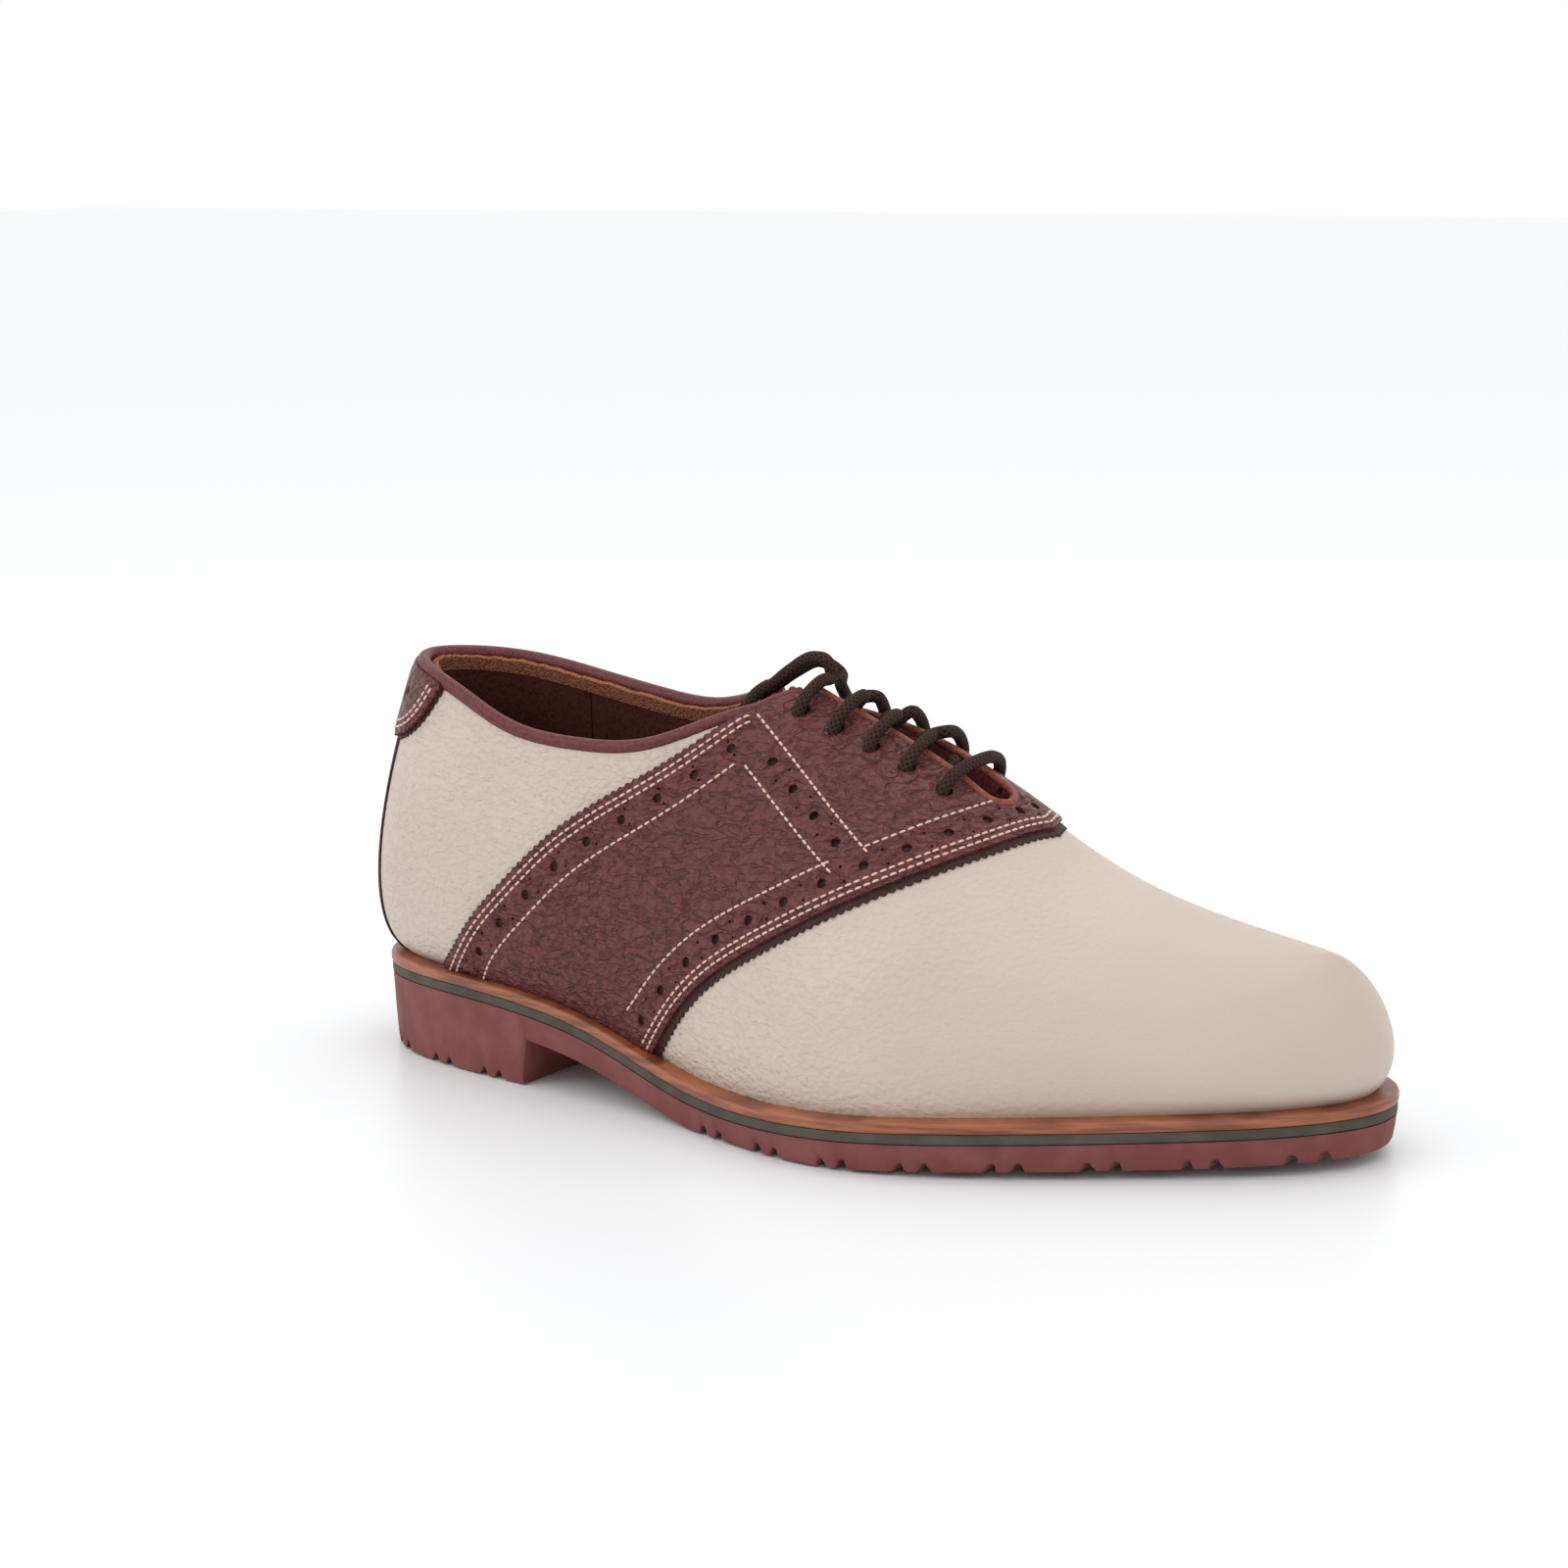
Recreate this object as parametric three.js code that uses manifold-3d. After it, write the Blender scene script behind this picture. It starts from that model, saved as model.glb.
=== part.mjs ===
// A right golf shoe of the saddle kind, millimetres, +X to the toe, lateral side at -Y, +Z up, sole on z = 0.
// The upper is worked out on the surface of a shoemaker's last: skin(s, t, off) is a point on it, where
// s runs once round the feather line (0 heel, 0.5 toe), t climbs from the welt (0) to the instep ridge (1)
// and off is the distance outside it. Each leather piece is a patch of that surface with a thickness.
import * as THREE from "three";
import { mergeVertices } from "three/addons/utils/BufferGeometryUtils.js";
import Module from "manifold-3d";

const wasm = await Module();
wasm.setup();

// ---------------------------------------------------------------- driving dimensions, mm
const SOLE_LENGTH = 303; // along X, heel back to toe tip
const SOLE_WIDTH = 114; // across Y at the ball
const WELT_MARGIN = 5.5; // how far the welt stands out past the upper
const WELT_THICK = 3;
const MIDSOLE_THICK = 2.8;
const HEEL_LENGTH = 73; // heel back to heel breast
const BREAST_RAKE = 3; // how far the breast leans back from bottom to top
const WAIST_RUBBER = 6.6; // rubber under the midsole in front of the heel
const TOE_SPRING = 2.6; // lift of the tread at the toe tip
const SPRING_START = 200; // where the toe spring starts
const SOLE_TAPER = 1.2; // the sole's bottom edge is this much inside its top edge
const TREAD_DEPTH = 2.2;
const TREAD_WIDTH = 2.6;
const TREAD_PITCH = 21;
const NOTCH_PAIR = 6; // distance between the two grooves of a pair

const UPPER_THICK = 1.4; // cream vamp and quarters
const SADDLE_THICK = 1.3;
const GIMP_THICK = 0.5; // dark pinked edging under the saddle
const LINING_THICK = 1;
const STIFFENER_THICK = 0.8; // heel counter and toe puff
const TONGUE_THICK = 1.8;
const INSOLE_THICK = 2.6;
const SOCK_THICK = 1.2;
const GAP = 0.3; // between pieces that touch
const LAYER_GAP = 0.5; // between curved layers
const INNER_GAP = 0.6; // on either side of the stiffeners
const LAP = 9; // how far vamp and quarters go under the saddle
const GIMP_SHOWS = 1.8; // what shows of the dark edging past the saddle
const GIMP_HIDDEN = 6;
const STRIP_HALF = 18.5; // half width of the dark back strip, measured round the heel from half way up
const STRIP_FLARE = 6.5; // it grows this much wider on either side down to the welt
const PATCH_HALF = 27; // half width of the back patch at the topline
const BINDING_R = 2.3; // topline bead
const THROAT_BEAD_R = 1.3; // bead along the facings
const THROAT_HALF = 5.5; // half of the gap between the facings
const EYELET_INSET = 8; // from facing edge to eyelet centre
const EYELET_ROWS = 5;
const EYELET_OUTER_R = 3.8;
const LACE_R = 1.8;
const AGLET_LENGTH = 20;
const SHANK_WIDTH = 16;
const SHANK_LENGTH = 112;
const SHANK_THICK = 1.2;

// Plan outline of the sole: shares of its length and width, from the heel back round the lateral side.
const OUTLINE = [
  [0, 0.035], [0.033, -0.167], [0.116, -0.281], [0.231, -0.342], [0.343, -0.386], [0.462, -0.482],
  [0.571, -0.561], [0.663, -0.544], [0.756, -0.439], [0.851, -0.289], [0.947, -0.114], [1, 0.088],
  [0.98, 0.281], [0.908, 0.386], [0.809, 0.439], [0.703, 0.439], [0.601, 0.395], [0.498, 0.325],
  [0.38, 0.289], [0.254, 0.307], [0.129, 0.316], [0.04, 0.228],
];
// Height of the welt's top at eight equal stations from heel to toe.
const WELT_TOP = [26.6, 27, 23, 13.6, 12.6, 14.2, 15, 16];
// The last above it, at nine equal stations: ridge height and side shift, how far the wall stands out
// over the welt, how high it stands before it turns in, and how broad the crown is (0 narrow, 1 flat).
const RIDGE_Z = [148, 137, 126.5, 115, 103, 89, 69.5, 58.5, 53];
const RIDGE_Y = [-0.5, 0, 1, 2, 3.2, 4.5, 5.5, 6.7, 8];
const WALL_OUT = [28, 20, 13.5, 9.5, 7.7, 7.8, 9, 11.5, 14.5];
const WALL_RISE = [10, 14, 17, 20, 21, 20, 17, 13.5, 9];
const CROWN = [0.34, 0.38, 0.43, 0.49, 0.55, 0.62, 0.67, 0.73, 0.79];
const RIDGE_BACK = 25.5; // the ridge starts this far in from the heel back
const RIDGE_FRONT = 8; // and ends this far from the toe tip

// Pattern lines, as stations u (0 heel, 1 toe along the feather line) at equal steps of t from 0 to 1.
const SADDLE_REAR = [0.105, 0.139, 0.168, 0.204, 0.243, 0.293, 0.341, 0.376, 0.401, 0.421, 0.434];
const SADDLE_REAR_MEDIAL = [0.105, 0.139, 0.168, 0.204, 0.243, 0.293, 0.339, 0.37, 0.388, 0.412, 0.434];
const SADDLE_FRONT = [0.384, 0.404, 0.428, 0.466, 0.523, 0.579, 0.625, 0.657, 0.679, 0.692, 0.7];
// Topline, as t at u = 0, 0.08 ... 0.40 on each side.
const TOPLINE = [0.605, 0.588, 0.56, 0.572, 0.635, 0.803];
const TOPLINE_MEDIAL = [0.605, 0.618, 0.622, 0.632, 0.683, 0.845];
const TOPLINE_END = 0.4;
const THROAT_TOP = 0.434; // station where the facings meet the topline
const THROAT_END = 0.66; // station of the throat's rounded end
const THROAT_SHIFT = [2.5, -4.5]; // throat centre from the ridge, top and bottom
const EYELET_FIRST = 0.446;
const EYELET_LAST = 0.616;
const LINING_SEAM = 0.15; // heel lining ends here
const TONGUE_TOP = 0.368;
const TONGUE_BASE = 0.69;
const TONGUE_HALF = 22;
const TONGUE_SINK = 2.6; // how much lower its top end lies, to clear the lace's tails

// ---------------------------------------------------------------- curves
// C2 cubic through the points at equal steps of the parameter: f(x) and f.slope(x), x from 0 to 1.
function spline(points, closed = false) {
  const p = points.map((v) => (Array.isArray(v) ? v : [v]));
  const n = p.length;
  const dims = p[0].length;
  const at = (i) => p[closed ? (i + n) % n : Math.min(Math.max(i, 0), n - 1)];
  const d = p.map(() => new Array(dims).fill(0));
  for (let pass = 0; pass < 60; pass++)
    for (let i = 0; i < n; i++)
      for (let k = 0; k < dims; k++) {
        const before = closed || i > 0 ? d[(i - 1 + n) % n][k] : 0;
        const after = closed || i < n - 1 ? d[(i + 1) % n][k] : 0;
        const weight = !closed && (i === 0 || i === n - 1) ? 2 : 4;
        d[i][k] = (3 * (at(i + 1)[k] - at(i - 1)[k]) - before - after) / weight;
      }
  const spans = closed ? n : n - 1;
  const locate = (x) => {
    const y = closed ? (x - Math.floor(x)) * n : x * spans;
    const i = Math.min(Math.max(Math.floor(y), 0), spans - 1);
    return [i, y - i, p[i], p[(i + 1) % n], d[i], d[(i + 1) % n]];
  };
  const f = (x) => {
    const [, q, a, b, da, db] = locate(x);
    const r = 1 - q;
    return a.map((v, k) =>
      v * (1 + 2 * q) * r * r + da[k] * q * r * r + b[k] * q * q * (3 - 2 * q) - db[k] * q * q * r);
  };
  f.slope = (x) => {
    const [, q, a, b, da, db] = locate(x);
    return a.map((v, k) =>
      (6 * q * q - 6 * q) * (v - b[k]) + (3 * q * q - 4 * q + 1) * da[k] + (3 * q * q - 2 * q) * db[k])
      .map((v) => v * spans);
  };
  return f;
}
const line = (values) => {
  const f = spline(values);
  const g = (x) => f(x)[0];
  g.slope = (x) => f.slope(x)[0];
  return g;
};
const clamp = (x, a = 0, b = 1) => Math.min(Math.max(x, a), b);
const mix = (a, b, x) => a + (b - a) * x;
const { smoothstep } = THREE.MathUtils;

const soleCurve = spline(OUTLINE.map(([a, b]) => [a * SOLE_LENGTH, b * SOLE_WIDTH]), true);

// A plan point of the sole's outline at s, pushed outwards by off.
function outline(s, off = 0) {
  const [x, y] = soleCurve(s);
  const [dx, dy] = soleCurve.slope(s);
  const size = Math.hypot(dx, dy);
  return [x + (off * dy) / size, y - (off * dx) / size];
}
const feather = (s) => outline(s, -WELT_MARGIN);

// The feather line's rearmost and foremost points, and the station u (0 to 1) of a place along X.
const SAMPLES = 720;
const featherX = Array.from({ length: SAMPLES }, (_, i) => feather(i / SAMPLES)[0]);
const X_BACK = Math.min(...featherX);
const X_TIP = Math.max(...featherX);
const S_BACK = featherX.indexOf(X_BACK) / SAMPLES;
const S_TIP = featherX.indexOf(X_TIP) / SAMPLES;
const ofX = (x) => clamp((x - X_BACK) / (X_TIP - X_BACK));
const weltTop = line(WELT_TOP);
const sideOfS = (s) => (s - Math.floor(s) < S_TIP ? -1 : 1);

// The parameter s at station u on one side (-1 lateral, 1 medial), by halving.
function atStation(u, side) {
  if (u >= 1) return S_TIP;
  const want = mix(X_BACK, X_TIP, Math.max(u, 0));
  let back = side < 0 ? S_BACK : S_BACK + 1;
  let fore = S_TIP;
  for (let i = 0; i < 40; i++) {
    const middle = (back + fore) / 2;
    if (feather(middle)[0] < want) back = middle;
    else fore = middle;
  }
  return back;
}

const ridgeZ = line(RIDGE_Z);
const ridgeY = line(RIDGE_Y);
const wallOut = line(WALL_OUT);
const wallRise = line(WALL_RISE);
const crown = line(CROWN);
const RIDGE_FROM = X_BACK + RIDGE_BACK;
const RIDGE_TO = X_TIP - RIDGE_FRONT;

// The four control points of the last's wall at s: feather, over the welt, beside the ridge, ridge.
function wall(s) {
  const [fx, fy] = feather(s);
  const u = ofX(fx);
  const x = mix(RIDGE_FROM, RIDGE_TO, u);
  const [y, z] = [ridgeY(u), ridgeZ(u)];
  const slope = ridgeZ.slope(u) / (RIDGE_TO - RIDGE_FROM);
  const reach = Math.hypot(x - fx, y - fy);
  const [ex, ey] = [(x - fx) / reach, (y - fy) / reach];
  const base = weltTop(u);
  const out = wallOut(u);
  const flat = crown(u) * reach;
  return {
    slope,
    points: [
      [fx, fy, base],
      [fx - ex * out, fy - ey * out, base + wallRise(u)],
      [x - ex * flat, y - ey * flat, z - ex * flat * slope],
      [x, y, z],
    ],
  };
}
function bezier(p, t) {
  const r = 1 - t;
  const w = [r * r * r, 3 * t * r * r, 3 * t * t * r, t * t * t];
  return new THREE.Vector3(...[0, 1, 2].map((k) => w.reduce((sum, v, i) => sum + v * p[i][k], 0)));
}
function bezierSlope(p, t) {
  const r = 1 - t;
  const w = [-3 * r * r, 3 * r * r - 6 * t * r, 6 * t * r - 3 * t * t, 3 * t * t];
  return new THREE.Vector3(...[0, 1, 2].map((k) => w.reduce((sum, v, i) => sum + v * p[i][k], 0)));
}
// A point of the last at (s, t), off mm outside it.
function skin(s, t, off = 0) {
  const here = wall(s);
  const point = bezier(here.points, t);
  if (!off) return point;
  const step = 1e-4;
  const along = bezier(wall(s + step).points, t).sub(bezier(wall(s - step).points, t));
  const normal = along.cross(bezierSlope(here.points, t));
  if (t > 0.9999 || normal.length() < 1e-7) normal.set(-here.slope, 0, 1);
  return point.addScaledVector(normal.normalize(), off);
}
// The same at station u and tau, which runs from -1 at the lateral feather over the ridge (0) to 1.
const over = (u, tau) => [atStation(u, tau < 0 ? -1 : 1), 1 - Math.abs(tau)];
// And at station u, d mm across from the ridge (negative towards the lateral side).
function across(u, d) {
  const s = atStation(u, d < 0 ? -1 : 1);
  return [s, 1 - Math.abs(d) / bezierSlope(wall(s).points, 1).length()];
}
const lengthPerU = X_TIP - X_BACK;

// ---------------------------------------------------------------- solids
const toManifold = (geometry) => {
  const merged = mergeVertices(geometry, 1e-4);
  return new wasm.Manifold(new wasm.Mesh({
    numProp: 3,
    vertProperties: new Float32Array(merged.attributes.position.array),
    triVerts: new Uint32Array(merged.index.array),
  }));
};
function fromTriangles(corners) {
  const g = new THREE.BufferGeometry();
  g.setAttribute("position", new THREE.Float32BufferAttribute(corners, 3));
  return toManifold(g);
}
function toGeometry(solid) {
  const m = solid.getMesh();
  const g = new THREE.BufferGeometry();
  g.setAttribute("position", new THREE.BufferAttribute(new Float32Array(m.vertProperties), 3));
  g.setIndex(new THREE.BufferAttribute(new Uint32Array(m.triVerts), 1));
  g.computeVertexNormals();
  return g;
}
// A thick patch: point(v, w, off) over a columns x rows grid between two offsets, walled on its sides,
// but for the last column where closed says that it welds to itself (the toe line).
function patch(point, [columns, rows], [inner, outer], closed = false) {
  const [inside, outside] = [inner, outer].map((off) =>
    Array.from({ length: columns + 1 }, (_, i) =>
      Array.from({ length: rows + 1 }, (_, j) => point(i / columns, j / rows, off))));
  const corners = [];
  const quad = (...four) => {
    for (const k of [0, 1, 2, 0, 2, 3]) corners.push(four[k].x, four[k].y, four[k].z);
  };
  for (let i = 0; i < columns; i++)
    for (let j = 0; j < rows; j++) {
      quad(outside[i][j], outside[i + 1][j], outside[i + 1][j + 1], outside[i][j + 1]);
      quad(inside[i][j], inside[i][j + 1], inside[i + 1][j + 1], inside[i + 1][j]);
    }
  for (let i = 0; i < columns; i++) {
    quad(inside[i][0], inside[i + 1][0], outside[i + 1][0], outside[i][0]);
    quad(outside[i][rows], outside[i + 1][rows], inside[i + 1][rows], inside[i][rows]);
  }
  for (let j = 0; j < rows; j++) {
    quad(outside[0][j], outside[0][j + 1], inside[0][j + 1], inside[0][j]);
    if (!closed)
      quad(inside[columns][j], inside[columns][j + 1], outside[columns][j + 1], outside[columns][j]);
  }
  const solid = fromTriangles(corners);
  return solid.volume() < 0 ? fromTriangles(flipped(corners)) : solid;
}
const onLast = (where) => (v, w, off) => skin(...where(v, w), off);
function flipped(corners) {
  const turned = corners.slice();
  for (let i = 0; i < corners.length; i += 9)
    for (let k = 0; k < 3; k++) {
      turned[i + 3 + k] = corners[i + 6 + k];
      turned[i + 6 + k] = corners[i + 3 + k];
    }
  return turned;
}
// A closed prism between two rings of the same polygon; place(point, 0 or 1) gives each ring's corners.
function prism(polygon, place) {
  const flat = polygon.map(([a, b]) => new THREE.Vector2(a, b));
  const [low, high] = [0, 1].map((end) => polygon.map((point, i) => place(point, end, i)));
  const corners = [];
  for (const [a, b, c] of THREE.ShapeUtils.triangulateShape(flat, []))
    corners.push(...low[a], ...low[c], ...low[b], ...high[a], ...high[b], ...high[c]);
  const back = THREE.ShapeUtils.isClockWise(flat);
  polygon.forEach((_, here) => {
    const next = (here + 1) % polygon.length;
    const [i, k] = back ? [next, here] : [here, next];
    corners.push(...low[i], ...low[k], ...high[k], ...low[i], ...high[k], ...high[i]);
  });
  const solid = fromTriangles(corners);
  return solid.volume() < 0 ? fromTriangles(flipped(corners)) : solid;
}
// Everything inside the sole's outline pushed out by off, narrowing by taper towards the ground.
function planPrism(off, taper = 0) {
  const count = 56;
  const [floor, ceiling] = [0, 40];
  const ring = Array.from({ length: count }, (_, i) => outline(i / count, off - taper));
  return prism(ring, (point, end, i) =>
    end ? [...outline(i / count, off), ceiling] : [...point, floor]);
}
// A side profile (x, z), carried right across the shoe.
const sidePrism = (profile) =>
  prism(profile, ([x, z], end) => [x, (end ? -1 : 1) * SOLE_WIDTH, z]);
const box = (x0, x1, y0, y1, z0, z1) =>
  toManifold(bare(new THREE.BoxGeometry(x1 - x0, y1 - y0, z1 - z0)
    .translate((x0 + x1) / 2, (y0 + y1) / 2, (z0 + z1) / 2)));
const bare = (g) => {
  const plain = g.index ? g.toNonIndexed() : g;
  return new THREE.BufferGeometry().setAttribute("position", plain.getAttribute("position"));
};
// A round bar along points, and the same with a little air round it, for cutting clear of it.
function bar(points, radius, steps, sides = 8) {
  const ring = Array.from({ length: sides }, (_, i) => {
    const a = ((i + 0.5) / sides) * 2 * Math.PI;
    return new THREE.Vector2(radius * Math.cos(a), radius * Math.sin(a));
  });
  const path = new THREE.CatmullRomCurve3(points, false, "centripetal");
  return toManifold(bare(new THREE.ExtrudeGeometry(new THREE.Shape(ring), {
    steps, extrudePath: path, bevelEnabled: false,
  })));
}

// ---------------------------------------------------------------- the sole
const STATIONS = 20;
const xs = Array.from({ length: STATIONS + 1 }, (_, i) => mix(X_BACK - 12, X_TIP + 12, i / STATIONS));
const weltLine = (drop) => xs.map((x) => [x, weltTop(clamp((x - X_BACK) / lengthPerU)) - drop]);
const slab = (top, bottom) => sidePrism([...weltLine(top), ...weltLine(bottom).reverse()]);

const midsoleTop = WELT_THICK + GAP;
const midsoleBottom = midsoleTop + MIDSOLE_THICK;
const outsoleTop = midsoleBottom + GAP;
const treadZ = (x) => TOE_SPRING * clamp((x - SPRING_START) / (SOLE_LENGTH - SPRING_START)) ** 2;
const waistZ = (x) => Math.max(weltTop(ofX(x)) - outsoleTop - WAIST_RUBBER, treadZ(x));
const tread = xs.filter((x) => x > HEEL_LENGTH + 1).map((x) => [x, waistZ(x)]);
const breastTop = weltTop(ofX(HEEL_LENGTH)) - outsoleTop - WAIST_RUBBER;
const grooves = [];
const groove = (x, depth = TREAD_DEPTH) =>
  grooves.push(box(x, x + TREAD_WIDTH, -SOLE_WIDTH, SOLE_WIDTH, -1, waistZ(x) * (x > HEEL_LENGTH) + depth));
for (let x = HEEL_LENGTH - 14; x > 6; x -= TREAD_PITCH)
  for (const side of [0, NOTCH_PAIR]) groove(x - side);
for (let x = SPRING_START - 60; x < SOLE_LENGTH - 12; x += TREAD_PITCH)
  for (const side of [0, NOTCH_PAIR]) groove(x + side);
const outsole = planPrism(0, SOLE_TAPER)
  .intersect(sidePrism([
    [X_BACK - 12, 0], [HEEL_LENGTH, 0], [HEEL_LENGTH - BREAST_RAKE, breastTop - 2],
    [HEEL_LENGTH - BREAST_RAKE + 3, breastTop], ...tread, ...weltLine(outsoleTop).reverse(),
  ]))
  .subtract(wasm.Manifold.union(grooves));
const midsole = planPrism(0).intersect(slab(midsoleTop, midsoleBottom));
const weltInner = -WELT_MARGIN - 7;
const welt = planPrism(0.3).subtract(planPrism(weltInner)).intersect(slab(0, WELT_THICK));
const fillerPlan = planPrism(weltInner - GAP);
const shankFrom = HEEL_LENGTH - 30;
const alongShank = (line, air) =>
  line.filter(([x]) => x > shankFrom - air && x < shankFrom + SHANK_LENGTH + air);
const shankSlot = (air) => sidePrism([
  ...alongShank(weltLine(GAP - (air ? 5 : 0)), air),
  ...alongShank(weltLine(GAP + SHANK_THICK + air), air).reverse(),
]).intersect(box(0, SOLE_LENGTH, -SHANK_WIDTH / 2 - air, SHANK_WIDTH / 2 + air, -5, 60));
const shank = shankSlot(0);
const filler = fillerPlan.intersect(slab(GAP, WELT_THICK)).subtract(shankSlot(GAP));
const insideUpper = -WELT_MARGIN - UPPER_THICK - 2 * INNER_GAP - STIFFENER_THICK - LINING_THICK - 1.4;
const insole = planPrism(insideUpper).intersect(slab(-INSOLE_THICK - GAP, -GAP));
const sockTop = -INSOLE_THICK - SOCK_THICK - 2 * GAP;
const sock = planPrism(insideUpper).intersect(slab(sockTop, -INSOLE_THICK - 2 * GAP));

// ---------------------------------------------------------------- the upper's pattern
const pattern = {
  rear: [line(SADDLE_REAR), line(SADDLE_REAR_MEDIAL)],
  front: [line(SADDLE_FRONT), line(SADDLE_FRONT)],
  top: [line(TOPLINE), line(TOPLINE_MEDIAL)],
};
const pick = (kind, side) => pattern[kind][side < 0 ? 0 : 1];
const topT = (u, side) => pick("top", side)(Math.min(u, TOPLINE_END) / TOPLINE_END);
const ROWS = 22; // of a patch from feather to feather: one number for all, so that no layer cuts another
const LOW = -0.03; // patches start below the welt and are trimmed to it
const rear = (t, side) => pick("rear", side)(clamp(t));
const front = (t, side) => pick("front", side)(clamp(t));
const perU = 1 / lengthPerU;

// Offsets of each layer's inner and outer face from the last.
const stack = (outer, thick) => [outer - thick, outer];
const layer = {
  upper: stack(0, UPPER_THICK),
  gimp: stack(LAYER_GAP + GIMP_THICK, GIMP_THICK),
  saddle: stack(2 * LAYER_GAP + GIMP_THICK + SADDLE_THICK, SADDLE_THICK),
  stiffener: stack(-UPPER_THICK - INNER_GAP, STIFFENER_THICK),
  lining: stack(-UPPER_THICK - 2 * INNER_GAP - STIFFENER_THICK, LINING_THICK),
};
layer.doubler = [-UPPER_THICK, layer.saddle[0] - LAYER_GAP];
const UNDER_FACING = layer.lining[0] - 2 * GAP - LACE_R; // where the lace runs under the facings
layer.tongue = stack(UNDER_FACING - LACE_R - 5 * GAP, TONGUE_THICK);

// A piece between two lines of stations, over the ridge from feather to feather.
const bridge = (from, to, grid, faces) =>
  patch(onLast((v, w) => {
    const tau = mix(LOW - 1, 1 - LOW, w);
    const t = 1 - Math.abs(tau);
    const side = tau < 0 ? -1 : 1;
    return over(mix(from(t, side), to(t, side), v), tau);
  }), grid, faces);
// From a line of stations to the toe, its columns closer together towards the tip.
const TOE_CROWDING = 1.8;
const toeCap = (from, grid, faces) =>
  patch(onLast((v, w) => {
    const tau = mix(LOW - 1, 1 - LOW, w);
    return over(1 - (1 - from(1 - Math.abs(tau), Math.sign(tau))) * (1 - v) ** TOE_CROWDING, tau);
  }), grid, faces, true);
// From the feather up to the height high(u, side), between two parameters from(t) and to(t) of the
// feather line; a band round the heel runs from a negative one to a positive one.
const flank = (from, to, high, grid, faces, low = LOW) =>
  patch(onLast((v, w) => {
    let s = 0;
    let t = w / 2;
    for (let i = 0; i < 8; i++) {
      s = mix(from(t), to(t), v);
      t = mix(low, high(ofX(feather(s)[0]), sideOfS(s)), w);
    }
    return [s, t];
  }), grid, faces);
// One side of a bridge, from the feather to just short of the ridge.
const halfBridge = (side, from, to, grid, faces, low = LOW, high = 0.985) =>
  patch(onLast((v, w) => {
    const t = mix(low, high, w);
    return [atStation(mix(from(t), to(t), v), side), t];
  }), grid, faces);

// ---------------------------------------------------------------- topline, throat and lace routes
const throatCentre = (u) =>
  mix(...THROAT_SHIFT, clamp((u - THROAT_TOP) / (THROAT_END - THROAT_TOP)));
const roundFrom = THROAT_END - THROAT_HALF * perU;
const throatHalf = (u) =>
  u < roundFrom ? THROAT_HALF
    : Math.max(THROAT_HALF * Math.sqrt(Math.max(1 - ((u - roundFrom) / (THROAT_HALF * perU)) ** 2, 0)), 0.2);
const throatEdge = (u, side) => across(u, throatCentre(u) + side * throatHalf(u));

const bindingOff = (layer.lining[0] + layer.saddle[1]) / 2;
function toplineSide(side, last) {
  const points = [];
  const count = 14;
  for (let i = 0; i <= count; i++) {
    const u = TOPLINE_END * (i / count) ** 2;
    points.push(skin(atStation(u, side), topT(u, side), bindingOff));
  }
  const start = topT(TOPLINE_END, side);
  for (let i = 1; i <= 3 && last > start; i++) {
    const t = mix(start, last, i / 3);
    points.push(skin(atStation(rear(t, side), side), t, bindingOff));
  }
  return points;
}
const cornerT = (side) => throatEdge(THROAT_TOP, side)[1];
const toplineEnd = (side) => cornerT(side) - 0.03;
const toplinePath = [
  ...toplineSide(-1, toplineEnd(-1)).reverse(),
  ...toplineSide(1, toplineEnd(1)).slice(1),
];
const beadOff = layer.saddle[1] - THROAT_BEAD_R + 0.2;
const throatPath = [];
for (const side of [-1, 1]) {
  const down = [];
  for (let i = 0; i <= 5; i++)
    down.push(skin(...throatEdge(mix(THROAT_TOP - (side > 0 ? 0.018 : 0), roundFrom, i / 5), side), beadOff));
  throatPath.push(...(side < 0 ? down : down.reverse()));
  if (side < 0)
    for (const turn of [-0.25, 0, 0.25]) {
      const u = roundFrom + THROAT_HALF * perU * Math.cos(turn * Math.PI);
      throatPath.push(skin(...across(u, throatCentre(u) + THROAT_HALF * Math.sin(turn * Math.PI)), beadOff));
    }
}
const topline = bar(toplinePath, BINDING_R, 44);
const toplineAir = bar(toplinePath, BINDING_R + GAP, 44, 6);
const throatBead = bar(throatPath, THROAT_BEAD_R, 20, 6);
const throatAir = bar(throatPath, THROAT_BEAD_R + GAP, 20, 6);
const throatOpening = patch((v, w, off) => {
  const u = mix(THROAT_TOP - 0.08, THROAT_END, v);
  return skin(...across(u, throatCentre(u) + (2 * w - 1) * throatHalf(u)), off);
}, [12, 2], [layer.lining[0] - 1, layer.saddle[1] + 3]);

// Eyelet centres: row 0 is at the throat's round end.
const eyeletU = (row) => mix(EYELET_LAST, EYELET_FIRST, row / (EYELET_ROWS - 1));
const laceAt = (row, d, off) => {
  const u = eyeletU(row);
  return skin(...across(u, throatCentre(u) + d), off);
};
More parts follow.
